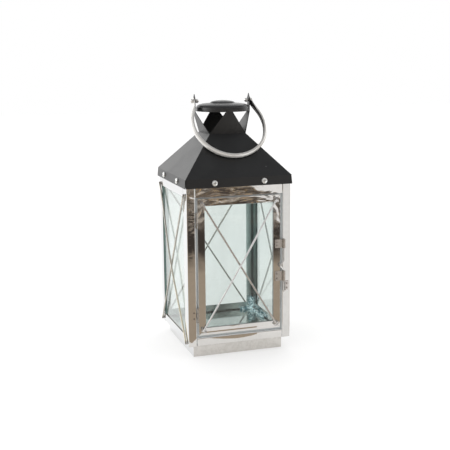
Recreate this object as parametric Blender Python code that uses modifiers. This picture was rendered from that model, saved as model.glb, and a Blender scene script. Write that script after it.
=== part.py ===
"""A square candle lantern: a polished sheet-steel frame glazed on four sides, crossed guard wires,
a hinged front door with a sliding bolt, a black pyramid roof with a vented chimney and cap,
and a bail handle.

Units are metres, +Z is up, the front (the door) faces -Y, and the origin is at the centre of the base.
"""

import math

import bmesh
import bpy
from mathutils import Matrix, Vector

# ---------------------------------------------------------------- driving dimensions
BODY_HALF = 0.080  # half the width and depth of the glazed body
SHEET = 0.0012  # frame sheet
THIN_SHEET = 0.0008  # straps, hinge leaves and glass stops
ROOF_SHEET = 0.0010
BEND_INSIDE = 0.0003  # radius inside a fold in the frame sheet
BEND_OUTSIDE = SHEET + BEND_INSIDE
GAP = 0.0003  # between pieces that touch or are welded

PLINTH_HALF = 0.070
PLINTH_TOP = 0.0187
PLINTH_HEM = 0.006
BODY_BOTTOM = 0.019
BODY_TOP = 0.2665
POST_FRONT_FLANGE = 0.013  # post width seen from the front or back
POST_SIDE_FLANGE = 0.018  # post width seen from the left or right
OPENING_BOTTOM = 0.0315  # top edge of the bottom rails
OPENING_TOP = 0.241  # lower edge of the top rails
BOTTOM_LEDGE = 0.014  # bottom rails fold inwards under the floor
TOP_LEDGE = 0.008
DOORWAY_RETURN = 0.0055  # the front posts and bottom rail fold inwards round the doorway
FLOOR_HALF = 0.0742
FLOOR_SHEET = 0.0010

GLASS = 0.002
PANE_LAP = 0.006  # how far a pane reaches behind its frame
STOP_LAP = 0.002  # how far a glass stop stands inside the frame opening
STOP_WIDTH = 0.010

WIRE_RADIUS = 0.0014
WIRE_END_SIDE = 0.071  # wire ends on the fixed sides, measured from the middle
WIRE_END_LOW = 0.0215
WIRE_END_HIGH = 0.2455

DOOR_HALF = 0.064
DOOR_BOTTOM = 0.0351
DOOR_TOP = 0.2393
DOOR_BAR = 0.011  # face width of the door's bars
DOOR_DEPTH = 0.0045
DOOR_SHEET = 0.0009
DOOR_GLASS = 0.0019
DOOR_GLASS_EDGE = 0.003  # from the door's outer edge to the edge of its glass
DOOR_WIRE_INSET = 0.0065  # wire ends, measured from the door's outer edges

HINGE_X = -0.0655
HINGE_Y = -0.0806
HINGE_HEIGHT = 0.022
HINGE_CENTRES = {"lower": 0.066, "upper": 0.208}
KNUCKLE_RADIUS = 0.0013
KNUCKLE_BORE = 0.00075
HINGE_PIN_RADIUS = 0.00066

BOLT_X = 0.0692
BOLT_RADIUS = 0.0011
EYE_BORE = 0.0013
EYE_RADIUS = 0.0021
BOLT_LOW, BOLT_HIGH = 0.091, 0.1725
CLIP_SPANS = {"lower": (0.1082, 0.1232), "upper": (0.1586, 0.1715)}
KEEPER_SPAN = (0.093, 0.107)
PULL_LOW, PULL_HIGH = 0.1240, 0.1402  # where the bolt bends out to its finger pull and back

SKIRT_HALF_LOW = 0.0825
SKIRT_HALF_HIGH = 0.0814
SKIRT_LOW = 0.2547
SKIRT_HIGH = 0.2677
SKIRT_CORNER_SLIT = 0.0014
NECK_HALF = 0.0283
NECK_Z = 0.3267
FLAP_TOP_HALF = 0.0030  # the front and back flaps end under the cap
FLAP_TOP_REACH = 0.0385
FLAP_TOP_Z = 0.3628
EAR_REACH = 0.0435  # the side flaps run on past the cap as the handle's ears
EAR_HALF = 0.0048
EAR_BEND_Z = 0.3585
EAR_SHOULDER_Z = 0.3785
EAR_TIP_Z = 0.3850

CAP_RADIUS = 0.0406
CAP_OFFSET = 0.0013  # the cap sits a little to the right
CAP_RIM_LOW = 0.3594
CAP_RIM_HIGH = 0.3648
CAP_BUTTON_RADIUS = 0.0186
CAP_BUTTON_Z = 0.3711
CAP_TOP_Z = 0.3752
CAP_SHEET = 0.0009

SCREW_SPACING = 0.038  # each side of the middle
SCREW_Z = 0.2612
SCREW_HEAD_RADIUS = 0.0042
SCREW_HEAD_HEIGHT = 0.0026
SCREW_SHANK_RADIUS = 0.0018
SCREW_LENGTH = 0.0085
SCREW_HOLE_RADIUS = 0.0022

PIVOT_Z = 0.3748
PIVOT_HEAD_RADIUS = 0.0034
PIVOT_HEAD_HEIGHT = 0.0042
PIVOT_SHANK_RADIUS = 0.0018
PIVOT_NUT_RADIUS = 0.0032
PIVOT_NUT_LENGTH = 0.0062
BAIL_PIVOT_HALF = EAR_REACH + GAP + 0.0005  # mid-thickness of the handle's flat ends
BAIL_RING_RADIUS = 0.0580
BAIL_RING_CENTRE = 0.0434  # from the pivot line to the ring's centre
BAIL_RING_OFFSET = 0.0026  # the ring was bent a little to the right
BAIL_SHEET = 0.0010
BAIL_BEND_RADIUS = 0.0034  # of the channel's cross-section, mid-thickness
BAIL_STRIP_HALF = 0.0060  # half the flat width of the strip it is rolled from
BAIL_END_HALF = 0.0052
BAIL_TIP = 0.0056  # from the pivot to the rounded end
BAIL_FLAT = 0.0028  # the ends stay flat this far below the pivot

COLLECTION = "candle_lantern"
CUTTERS = "cutters"


# ---------------------------------------------------------------- scene helpers
def clear_scene():
    """Removes every object, so the script gives the same result in any file."""
    for obj in list(bpy.data.objects):
        bpy.data.objects.remove(obj, do_unlink=True)


def collection(name):
    made = bpy.data.collections.get(name) or bpy.data.collections.new(name)
    if name not in bpy.context.scene.collection.children:
        bpy.context.scene.collection.children.link(made)
    return made


def material(name, colour, roughness, metallic, transmission=0.0):
    made = bpy.data.materials.get(name)
    if made:
        return made
    made = bpy.data.materials.new(name)
    made.use_nodes = True
    shader = made.node_tree.nodes["Principled BSDF"]
    shader.inputs["Base Color"].default_value = (*colour, 1.0)
    shader.inputs["Roughness"].default_value = roughness
    shader.inputs["Metallic"].default_value = metallic
    shader.inputs["Transmission Weight"].default_value = transmission
    return made


def polished_steel():
    return material("polished_steel", (0.72, 0.70, 0.67), 0.08, 1.0)


def satin_steel():
    return material("satin_steel", (0.62, 0.61, 0.58), 0.28, 1.0)


def black_enamel():
    return material("black_enamel", (0.030, 0.031, 0.033), 0.38, 0.0)


def zinc_screw():
    return material("zinc_screw", (0.80, 0.80, 0.78), 0.22, 1.0)


def clear_glass():
    return material("clear_glass", (0.86, 0.93, 0.91), 0.02, 0.0, 1.0)


def place(name, data, finish):
    """Makes a named object from a mesh or curve, with its own material, in the lantern's collection."""
    obj = bpy.data.objects.new(name, data)
    if not data.materials:
        data.materials.append(finish)
    collection(COLLECTION).objects.link(obj)
    return obj


def empty(name, location, parent=None):
    made = bpy.data.objects.new(name, None)
    made.location = location
    collection(COLLECTION).objects.link(made)
    made.parent = parent
    return made


def mesh_from(bm, name):
    bmesh.ops.recalc_face_normals(bm, faces=bm.faces)
    mesh = bpy.data.meshes.new(name)
    bm.to_mesh(mesh)
    bm.free()
    return mesh


def as_mesh(obj):
    """Replaces a curve, or a mesh with modifiers, by the plain mesh it makes, its caps welded."""
    bpy.context.view_layer.update()
    graph = bpy.context.evaluated_depsgraph_get()
    mesh = bpy.data.meshes.new_from_object(obj.evaluated_get(graph))
    bm = bmesh.new()
    bm.from_mesh(mesh)
    bmesh.ops.remove_doubles(bm, verts=bm.verts, dist=1e-6)
    bmesh.ops.recalc_face_normals(bm, faces=bm.faces)
    bm.to_mesh(mesh)
    bm.free()
    name, matrix, parent = obj.name, obj.matrix_world.copy(), obj.parent
    bpy.data.objects.remove(obj, do_unlink=True)
    made = bpy.data.objects.new(name, mesh)
    collection(COLLECTION).objects.link(made)
    made.matrix_world = matrix
    if parent:
        made.parent = parent
        made.matrix_parent_inverse = parent.matrix_world.inverted()
    return made


def cut(obj, cutter):
    """Cuts a hidden helper away from an object with an exact Boolean."""
    cutter.hide_render = True
    cutter.display_type = "WIRE"
    for owner in list(cutter.users_collection):
        owner.objects.unlink(cutter)
    collection(CUTTERS).objects.link(cutter)
    modifier = obj.modifiers.new("cut_" + cutter.name, "BOOLEAN")
    modifier.operation = "DIFFERENCE"
    modifier.solver = "EXACT"
    modifier.object = cutter


# ---------------------------------------------------------------- shape helpers
def box(name, low, high, finish=None):
    """A cube primitive stretched to two corners."""
    low, high = Vector(low), Vector(high)
    bm = bmesh.new()
    stretch = Matrix.Diagonal((*(high - low), 1))
    bmesh.ops.create_cube(bm, size=1.0, matrix=Matrix.Translation((low + high) / 2) @ stretch)
    return place(name, mesh_from(bm, name), finish)


def rod_cutter(name, centre, axis, radius, length, sides=16):
    """A cylinder along X or Y, used to drill holes."""
    turn = Matrix.Rotation(math.pi / 2, 4, "Y" if axis == "X" else "X")
    bm = bmesh.new()
    bmesh.ops.create_cone(
        bm, cap_ends=True, segments=sides, radius1=radius, radius2=radius, depth=length,
        matrix=Matrix.Translation(centre) @ turn,
    )
    return place(name, mesh_from(bm, name), None)


def rounded(corners, radii, steps=3):
    """The outline through these corners, each one rounded to its radius with a short arc."""
    points = []
    for i, (corner, radius) in enumerate(zip(corners, radii)):
        corner = Vector(corner)
        if radius <= 0:
            points.append(corner)
            continue
        before = (Vector(corners[i - 1]) - corner).normalized()
        after = (Vector(corners[(i + 1) % len(corners)]) - corner).normalized()
        half = before.angle(after) / 2
        centre = corner + (before + after).normalized() * (radius / math.sin(half))
        start = corner + before * (radius / math.tan(half)) - centre
        end = corner + after * (radius / math.tan(half)) - centre
        sweep = start.angle_signed(end)
        for k in range(steps + 1):
            points.append(centre + Matrix.Rotation(-sweep * k / steps, 2) @ start)
    return [(p.x, p.y) for p in points]


def ring_points(radius, sides=20, centre=(0.0, 0.0)):
    angles = [2 * math.pi * k / sides for k in range(sides)]
    return [(centre[0] + radius * math.cos(a), centre[1] + radius * math.sin(a)) for a in angles]


# How a flat outline's own axes lie in the lantern: its two drawing axes, then its thickness.
DRAWN_ON = {
    "XY": Matrix.Identity(4),
    "XZ": Matrix(((1, 0, 0, 0), (0, 0, -1, 0), (0, 1, 0, 0), (0, 0, 0, 1))),
    "YZ": Matrix(((0, 0, 1, 0), (1, 0, 0, 0), (0, 1, 0, 0), (0, 0, 0, 1))),
}


def slab(name, outlines, plane, low, high, finish, parent=None):
    """A flat outline, with any holes as further outlines, extruded from low to high."""
    curve = bpy.data.curves.new(name, "CURVE")
    curve.dimensions = "2D"
    curve.fill_mode = "BOTH"
    curve.extrude = (high - low) / 2
    for outline in outlines:
        spline = curve.splines.new("POLY")
        spline.points.add(len(outline) - 1)
        for point, (u, v) in zip(spline.points, outline):
            point.co = (u, v, 0, 1)
        spline.use_cyclic_u = True
    obj = place(name, curve, finish)
    middle = (low + high) / 2
    sign = -1 if plane == "XZ" else 1  # that plane's normal is -Y
    obj.matrix_world = DRAWN_ON[plane] @ Matrix.Translation((0, 0, sign * middle))
    obj = as_mesh(obj)
    if parent:
        obj.parent = parent
        obj.matrix_parent_inverse = parent.matrix_world.inverted()
    return obj


def turned(name, profile, finish, steps, axis="Z", location=(0, 0, 0)):
    """A profile of (radius, height) points, from the top down, turned round its axis."""
    mesh = bpy.data.meshes.new(name)
    points = [(radius, 0, height) for radius, height in profile]
    mesh.from_pydata(points, [(i, i + 1) for i in range(len(points) - 1)], [])
    obj = place(name, mesh, finish)
    screw = obj.modifiers.new("turn", "SCREW")
    screw.steps = steps
    screw.render_steps = steps
    screw.use_merge_vertices = True
    screw.merge_threshold = 1e-6
    screw.use_smooth_shade = False
    obj = as_mesh(obj)
    angle = {"Z": 0, "X": math.pi / 2, "-X": -math.pi / 2}[axis]
    obj.matrix_world = Matrix.Translation(location) @ Matrix.Rotation(angle, 4, "Y")
    return obj


def wire(name, path, radius, finish, resolution=3, parent=None):
    """A round wire with closed ends along a path of points."""
    curve = bpy.data.curves.new(name, "CURVE")
    curve.dimensions = "3D"
    curve.bevel_depth = radius
    curve.bevel_resolution = resolution
    curve.use_fill_caps = True
    spline = curve.splines.new("POLY")
    spline.points.add(len(path) - 1)
    for point, place_at in zip(spline.points, path):
        point.co = (*place_at, 1)
    obj = place(name, curve, finish)
    obj.parent = parent
    if parent:
        bpy.context.view_layer.update()
        obj.matrix_parent_inverse = parent.matrix_world.inverted()
    return obj


def smooth_path(points, per_span):
    """Points along a Catmull-Rom curve through the given ones."""
    given = [Vector(p) for p in points]
    ends = [2 * given[0] - given[1], *given, 2 * given[-1] - given[-2]]
    path = []
    for a, b, c, d in zip(ends, ends[1:], ends[2:], ends[3:]):
        for k in range(per_span):
            t = k / per_span
            bowed = (2 * a - 5 * b + 4 * c - d) * t**2
            twisted = (3 * b - a - 3 * c + d) * t**3
            path.append(0.5 * (2 * b + (c - a) * t + bowed + twisted))
    return [*path, given[-1]]


def side_turn(quarter):
    """Turns the front (-Y) side to another one: 0 front, 1 right, 2 back, 3 left."""
    return Matrix.Rotation(quarter * math.pi / 2, 4, "Z")


# ---------------------------------------------------------------- base and frame
def build_plinth():
    """An upside-down tray, its lower edge folded in to a flat hem that the lantern stands on."""
    bm = bmesh.new()
    rings = []
    corners = ((-1, -1), (1, -1), (1, 1), (-1, 1))
    for half, z in ((PLINTH_HALF - PLINTH_HEM, 0), (PLINTH_HALF, 0), (PLINTH_HALF, PLINTH_TOP)):
        rings.append([bm.verts.new((x * half, y * half, z)) for x, y in corners])
    for lower, upper in zip(rings, rings[1:]):
        for k in range(4):
            bm.faces.new((lower[k], lower[(k + 1) % 4], upper[(k + 1) % 4], upper[k]))
    bm.faces.new(rings[-1])
    plinth = place("plinth", mesh_from(bm, "plinth"), polished_steel())
    shell = plinth.modifiers.new("sheet", "SOLIDIFY")
    shell.thickness = ROOF_SHEET
    shell.offset = -1
    shell.use_even_offset = True


def build_floor():
    """A square plate that lies on the ledges of the bottom rails."""
    low = BODY_BOTTOM + SHEET + GAP
    corner = (FLOOR_HALF, FLOOR_HALF, low + FLOOR_SHEET)
    box("floor_plate", (-FLOOR_HALF, -FLOOR_HALF, low), corner, polished_steel())


def build_posts():
    """Four folded corner angles: the narrow flange faces front or back, the wide one left or right.
    The front ones have a third fold, back into the doorway."""
    edge, jamb = BODY_HALF - POST_FRONT_FLANGE, BODY_HALF - DOORWAY_RETURN
    inner = BODY_HALF - SHEET
    side_edge = BODY_HALF - POST_SIDE_FLANGE
    for name, sx, sy in (
        ("front_left", -1, -1), ("front_right", 1, -1), ("back_left", -1, 1), ("back_right", 1, 1),
    ):
        tail = [(inner, inner), (inner, side_edge), (BODY_HALF, side_edge)]
        if sy < 0:
            corners = [(BODY_HALF, BODY_HALF), (edge, BODY_HALF), (edge, jamb), (edge + SHEET, jamb),
                       (edge + SHEET, inner)]
            radii = [BEND_OUTSIDE, BEND_OUTSIDE, 0, 0, BEND_INSIDE, BEND_INSIDE, 0, 0]
        else:
            corners = [(BODY_HALF, BODY_HALF), (edge, BODY_HALF), (edge, inner)]
            radii = [BEND_OUTSIDE, 0, 0, BEND_INSIDE, 0, 0]
        outline = rounded([(sx * x, sy * y) for x, y in corners + tail], radii)
        slab("post_" + name, [outline], "XY", BODY_BOTTOM, BODY_TOP, polished_steel())


def rail_outline(face, low, high, ledge, doorway=False):
    """An angle section in the (depth, height) plane: an upright face, and a ledge folded inwards.
    The bottom rail of the doorway has a second, shorter fold along its upper edge."""
    inner = face + SHEET
    if doorway:
        corners = [(face, high), (face, low), (face + ledge, low), (face + ledge, low + SHEET),
                   (inner, low + SHEET), (inner, high - SHEET),
                   (face + DOORWAY_RETURN, high - SHEET), (face + DOORWAY_RETURN, high)]
        return rounded(corners, [BEND_OUTSIDE, BEND_OUTSIDE, 0, 0, BEND_INSIDE, BEND_INSIDE, 0, 0])
    if high > BODY_TOP / 2:
        corners = [(face, low), (face, high), (face + ledge, high), (face + ledge, high - SHEET),
                   (inner, high - SHEET), (inner, low)]
        return rounded(corners, [0, BEND_OUTSIDE, 0, 0, BEND_INSIDE, 0])
    corners = [(face, high), (face, low), (face + ledge, low), (face + ledge, low + SHEET),
               (inner, low + SHEET), (inner, high)]
    return rounded(corners, [0, BEND_OUTSIDE, 0, 0, BEND_INSIDE, 0])


def build_rails():
    """Bottom rails carry the floor on their ledges. Top rails take the roof screws."""
    for quarter, side in enumerate(("front", "right", "back", "left")):
        flange = POST_FRONT_FLANGE if quarter % 2 == 0 else POST_SIDE_FLANGE
        half = BODY_HALF - flange - GAP
        for level, low, high, ledge in (
            ("bottom", BODY_BOTTOM, OPENING_BOTTOM, BOTTOM_LEDGE),
            ("top", OPENING_TOP, BODY_TOP, TOP_LEDGE),
        ):
            doorway = (side, level) == ("front", "bottom")
            outline = rail_outline(-BODY_HALF, low, high, ledge, doorway)
            rail = slab(f"{level}_rail_{side}", [outline], "YZ", -half, half, polished_steel())
            rail.matrix_world = side_turn(quarter) @ rail.matrix_world
            if level == "top":
                for sign in (-1, 1):
                    centre = side_turn(quarter) @ Vector((sign * SCREW_SPACING, -BODY_HALF, SCREW_Z))
                    axis = "Y" if quarter % 2 == 0 else "X"
                    name = f"rail_hole_{side}_{sign:+d}"
                    cut(rail, rod_cutter(name, centre, axis, SCREW_HOLE_RADIUS, 0.01))


# ---------------------------------------------------------------- fixed glazing
def build_panes():
    """A pane behind each fixed side, and behind it the folded stop that holds it in."""
    front_of_glass = -(BODY_HALF - SHEET - GAP)
    front_of_stop = front_of_glass + GLASS + GAP
    for quarter, side in ((1, "right"), (2, "back"), (3, "left")):
        flange = POST_FRONT_FLANGE if quarter % 2 == 0 else POST_SIDE_FLANGE
        opening = BODY_HALF - flange
        pane_half = min(opening + PANE_LAP, BODY_HALF - SHEET - GAP - GLASS - 0.003)
        pane = box(
            "glass_" + side,
            (-pane_half, front_of_glass, OPENING_BOTTOM - PANE_LAP),
            (pane_half, front_of_glass + GLASS, OPENING_TOP + PANE_LAP),
            clear_glass(),
        )
        pane.matrix_world = side_turn(quarter)
        inner = opening - STOP_LAP
        outer = inner + STOP_WIDTH
        low, high = OPENING_BOTTOM + STOP_LAP, OPENING_TOP - STOP_LAP
        bottom, top = low - STOP_WIDTH, high + STOP_WIDTH
        frame = [(-outer, bottom), (outer, bottom), (outer, top), (-outer, top)]
        window = [(-inner, low), (inner, low), (inner, high), (-inner, high)]
        depths = (front_of_stop, front_of_stop + THIN_SHEET)
        stop = slab("glass_stop_" + side, [frame, window], "XZ", *depths, polished_steel())
        stop.matrix_world = side_turn(quarter) @ stop.matrix_world


def crossing_path(start, end, lift, spans=14):
    """A wire between two points that arches outwards (-Y) over the other wire at the middle."""
    start, end = Vector(start), Vector(end)
    path = []
    for k in range(spans + 1):
        share = k / spans
        hump = lift * math.sin(math.pi * share) ** 2
        path.append(start.lerp(end, share) + Vector((0, -hump, 0)))
    return path


def build_side_wires():
    """Two crossed guard wires on each fixed side, soldered to the posts at their ends."""
    depth = -(BODY_HALF + GAP + WIRE_RADIUS)
    lift = 2 * WIRE_RADIUS + GAP
    for quarter, side in ((1, "right"), (2, "back"), (3, "left")):
        for name, sign, rise, spans in (("under", 1, 0.0, 1), ("over", -1, lift, 14)):
            start = (-sign * WIRE_END_SIDE, depth, WIRE_END_LOW)
            end = (sign * WIRE_END_SIDE, depth, WIRE_END_HIGH)
            path = crossing_path(start, end, rise, spans)
            piece = wire(f"wire_{side}_{name}", path, WIRE_RADIUS, satin_steel())
            piece.matrix_world = side_turn(quarter)


# ---------------------------------------------------------------- door
def mitred_bar(name, low_end, high_end, rotation, offset, parent):
    """A channel bar with mitred ends, open towards the glass, drawn along X with its outer edge at Z 0."""
    back, sheet = DOOR_DEPTH, DOOR_SHEET
    section = [(0, 0), (DOOR_BAR, 0), (DOOR_BAR, sheet), (sheet, sheet), (sheet, back - sheet),
               (DOOR_BAR, back - sheet), (DOOR_BAR, back), (0, back)]
    bm = bmesh.new()
    starts = [bm.verts.new((low_end + w, d, w)) for w, d in section]
    ends = [bm.verts.new((high_end - w, d, w)) for w, d in section]
    for k in range(len(section)):
        n = (k + 1) % len(section)
        bm.faces.new((starts[k], starts[n], ends[n], ends[k]))
    bm.faces.new(starts)
    bm.faces.new(ends)
    bar = place(name, mesh_from(bm, name), polished_steel())
    bar.matrix_world = Matrix.Translation(offset) @ Matrix.Rotation(rotation, 4, "Y")
    bpy.context.view_layer.update()
    bar.parent = parent
    bar.matrix_parent_inverse = parent.matrix_world.inverted()
    return bar


def build_door(door):
    """Four mitred channels round a pane, with their own pair of crossed wires."""
    middle = (DOOR_BOTTOM + DOOR_TOP) / 2
    half_height = (DOOR_TOP - DOOR_BOTTOM) / 2
    seam = GAP / 2
    front = -BODY_HALF
    for name, half, rotation, x, z in (
        ("door_rail_bottom", DOOR_HALF, 0, 0, DOOR_BOTTOM),
        ("door_rail_top", DOOR_HALF, math.pi, 0, DOOR_TOP),
        ("door_stile_left", half_height, math.pi / 2, -DOOR_HALF, middle),
        ("door_stile_right", half_height, -math.pi / 2, DOOR_HALF, middle),
    ):
        mitred_bar(name, seam - half, half - seam, rotation, (x, front, z), door)

    glass_front = front + (DOOR_DEPTH - DOOR_GLASS) / 2
    edge = DOOR_GLASS_EDGE
    pane = box(
        "door_glass",
        (-DOOR_HALF + edge, glass_front, DOOR_BOTTOM + edge),
        (DOOR_HALF - edge, glass_front + DOOR_GLASS, DOOR_TOP - edge),
        clear_glass(),
    )
    pane.parent = door
    pane.matrix_parent_inverse = door.matrix_world.inverted()

    side = DOOR_HALF - DOOR_WIRE_INSET
    low, high = DOOR_BOTTOM + DOOR_WIRE_INSET, DOOR_TOP - DOOR_WIRE_INSET
    depth = front - GAP - WIRE_RADIUS
    lift = 2 * WIRE_RADIUS + GAP
    for name, sign, rise, spans in (("under", -1, 0.0, 1), ("over", 1, lift, 14)):
        path = crossing_path((-sign * side, depth, low), (sign * side, depth, high), rise, spans)
        wire("wire_door_" + name, path, WIRE_RADIUS, satin_steel(), parent=door)


def build_hinges(door):
    """Each hinge: a leaf welded on the post's doorway fold, a leaf welded on the door's edge, and a pin."""
    r, t = KNUCKLE_RADIUS, THIN_SHEET
    knuckle = HINGE_HEIGHT / 3
    angles = [math.pi * (1 + k / 10) for k in range(11)]
    arc = [(HINGE_X + r * math.cos(a), HINGE_Y + r * math.sin(a)) for a in angles]
    wall = -(BODY_HALF - POST_FRONT_FLANGE) + GAP  # the leaf lies flat against the fold
    post_leaf = [*arc, (HINGE_X + r, HINGE_Y + 0.0004), (wall + t, HINGE_Y + 0.0013), (wall + t, -0.0748),
                 (wall, -0.0748), (wall, HINGE_Y + 0.0010)]
    near = HINGE_X + r - t
    door_leaf = [*arc, (HINGE_X + r, -0.0762), (near, -0.0762), (near, HINGE_Y + 0.0013),
                 (HINGE_X - r, HINGE_Y + 0.0004)]
    bore = ring_points(KNUCKLE_BORE, 12, (HINGE_X, HINGE_Y))
    for place_name, centre in HINGE_CENTRES.items():
        low, high = centre - HINGE_HEIGHT / 2, centre + HINGE_HEIGHT / 2
        fixed = slab(f"hinge_{place_name}_post_leaf", [post_leaf, bore], "XY", low, high, polished_steel())
        window = box(
            f"knuckle_window_{place_name}",
            (HINGE_X - r - 0.001, HINGE_Y - r - 0.001, centre - knuckle / 2 - GAP / 2),
            (HINGE_X + r + 0.001, HINGE_Y + r + GAP, centre + knuckle / 2 + GAP / 2),
        )
        cut(fixed, window)
        slab(f"hinge_{place_name}_door_leaf", [door_leaf, bore], "XY",
             centre - knuckle / 2 + GAP / 2, centre + knuckle / 2 - GAP / 2, polished_steel(), door)
        head = 0.0004
        top = high + GAP + head
        pin = [(0, top), (HINGE_PIN_RADIUS * 1.6, top), (HINGE_PIN_RADIUS * 1.6, top - head),
               (HINGE_PIN_RADIUS, top - head), (HINGE_PIN_RADIUS, low - head), (0, low - head)]
        turned(f"hinge_{place_name}_pin", pin, satin_steel(), 12, location=(HINGE_X, HINGE_Y, 0))


# ---------------------------------------------------------------- latch
def eye_strap(name, plate_end, span, parent):
    """A strap spot-welded flat on the door, its free edge rolled into an eye round the bolt."""
    back = -BODY_HALF - GAP
    centre_y = back - EYE_RADIUS
    turn, steps = 2 * math.pi - math.acos(1 - THIN_SHEET / EYE_RADIUS), 18
    eye = []
    for k in range(steps + 1):
        angle = math.pi / 2 - turn * k / steps
        eye.append((BOLT_X + EYE_RADIUS * math.cos(angle), centre_y + EYE_RADIUS * math.sin(angle)))
    outline = [(plate_end, back), *eye, (plate_end, back - THIN_SHEET)]
    bore = ring_points(EYE_BORE, 14, (BOLT_X, centre_y))
    return slab(name, [outline, bore], "XY", *span, polished_steel(), parent)


def keeper_hook(name, plate_end, span):
    """A strap spot-welded on the post, its free edge folded to a trough that is open at the front,
    so that the bolt drops in behind its two lips and the door can still be drawn off it."""
    back = -BODY_HALF - GAP
    front = back - 2 * EYE_RADIUS
    near, far = EYE_BORE + 0.0001, EYE_BORE + 0.0001 + THIN_SHEET
    outline = [
        (plate_end, back), (BOLT_X - far, back), (BOLT_X - far, front), (BOLT_X - near, front),
        (BOLT_X - near, back - THIN_SHEET), (BOLT_X + near, back - THIN_SHEET), (BOLT_X + near, front),
        (BOLT_X + far, front), (BOLT_X + far, back - THIN_SHEET), (plate_end, back - THIN_SHEET),
    ]
    lip = THIN_SHEET * 0.4
    radii = [0, THIN_SHEET, lip, lip, 0.0002, 0.0002, lip, lip, 0, 0]
    return slab(name, [rounded(outline, radii)], "XY", *span, polished_steel())


def build_latch(door, slider):
    """Two straps on the door guide a bolt that drops into a keeper on the post."""
    for level, span in CLIP_SPANS.items():
        eye_strap(f"latch_guide_{level}", DOOR_HALF - 0.0085, span, door)
    keeper_hook("latch_keeper", 0.0775, KEEPER_SPAN)
    y = -BODY_HALF - GAP - EYE_RADIUS
    pull_middle = (PULL_LOW + PULL_HIGH) / 2
    pull = (  # how far the pull stands out to the side and forward at each height
        (0, 0, PULL_LOW), (0.0012, 0.0005, PULL_LOW + 0.0018), (0.0046, 0.0019, pull_middle - 0.0028),
        (0.0066, 0.0026, pull_middle), (0.0046, 0.0019, pull_middle + 0.0028),
        (0.0012, 0.0005, PULL_HIGH - 0.0018), (0, 0, PULL_HIGH),
    )
    route = [(BOLT_X - aside, y - forward, z) for aside, forward, z in pull]
    path = [Vector((BOLT_X, y, BOLT_LOW)), *smooth_path(route, 3), Vector((BOLT_X, y, BOLT_HIGH))]
    wire("latch_bolt", path, BOLT_RADIUS, satin_steel(), parent=slider)


# ---------------------------------------------------------------- roof
def build_roof():
    """One folded sheet: skirt flanges with open corner seams, the pyramid, and four chimney flaps.
    The front and back flaps end under the cap. The side flaps run on past it as the handle's ears."""
    bm = bmesh.new()

    def corner(quarter, along, out, z):
        return bm.verts.new(side_turn(quarter) @ Vector((along, -out, z)))

    for quarter in range(4):
        low = SKIRT_HALF_LOW - SKIRT_CORNER_SLIT
        high = SKIRT_HALF_HIGH - SKIRT_CORNER_SLIT
        skirt = [corner(quarter, a, SKIRT_HALF_LOW, SKIRT_LOW) for a in (-low, low)]
        skirt += [corner(quarter, a, SKIRT_HALF_HIGH, SKIRT_HIGH) for a in (high, -high)]
        bm.faces.new(skirt)
        eave_at = (-SKIRT_HALF_HIGH, -high, high, SKIRT_HALF_HIGH)
        eave = [corner(quarter, a, SKIRT_HALF_HIGH, SKIRT_HIGH) for a in eave_at]
        neck = [corner(quarter, a, NECK_HALF, NECK_Z) for a in (NECK_HALF, -NECK_HALF)]
        bm.faces.new(eave + neck)
        base = [corner(quarter, a, NECK_HALF, NECK_Z) for a in (-NECK_HALF, NECK_HALF)]
        if quarter % 2 == 0:
            top = [corner(quarter, a, FLAP_TOP_REACH, FLAP_TOP_Z) for a in (FLAP_TOP_HALF, -FLAP_TOP_HALF)]
            bm.faces.new(base + top)
            continue
        bend = [corner(quarter, a, EAR_REACH, EAR_BEND_Z) for a in (EAR_HALF, -EAR_HALF)]
        bm.faces.new(base + bend)
        foot = [corner(quarter, a, EAR_REACH, EAR_BEND_Z) for a in (-EAR_HALF, EAR_HALF)]
        tip = [corner(quarter, a, EAR_REACH, z) for a, z in
               ((EAR_HALF, EAR_SHOULDER_Z), (0, EAR_TIP_Z), (-EAR_HALF, EAR_SHOULDER_Z))]
        bm.faces.new(foot + tip)
    bmesh.ops.remove_doubles(bm, verts=bm.verts, dist=1e-6)
    roof = place("roof_hood", mesh_from(bm, "roof_hood"), black_enamel())
    shell = roof.modifiers.new("sheet", "SOLIDIFY")
    shell.thickness = ROOF_SHEET
    shell.offset = -1
    shell.use_even_offset = True
    for quarter in range(4):
        for sign in (-1, 1):
            centre = side_turn(quarter) @ Vector((sign * SCREW_SPACING, -SKIRT_HALF_LOW, SCREW_Z))
            axis = "Y" if quarter % 2 == 0 else "X"
            cut(roof, rod_cutter(f"roof_hole_{quarter}_{sign:+d}", centre, axis, SCREW_HOLE_RADIUS, 0.005))
    for sign in (-1, 1):
        centre = (sign * EAR_REACH, 0, PIVOT_Z)
        cut(roof, rod_cutter(f"ear_hole_{sign:+d}", centre, "X", SCREW_HOLE_RADIUS, 0.006))


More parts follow.
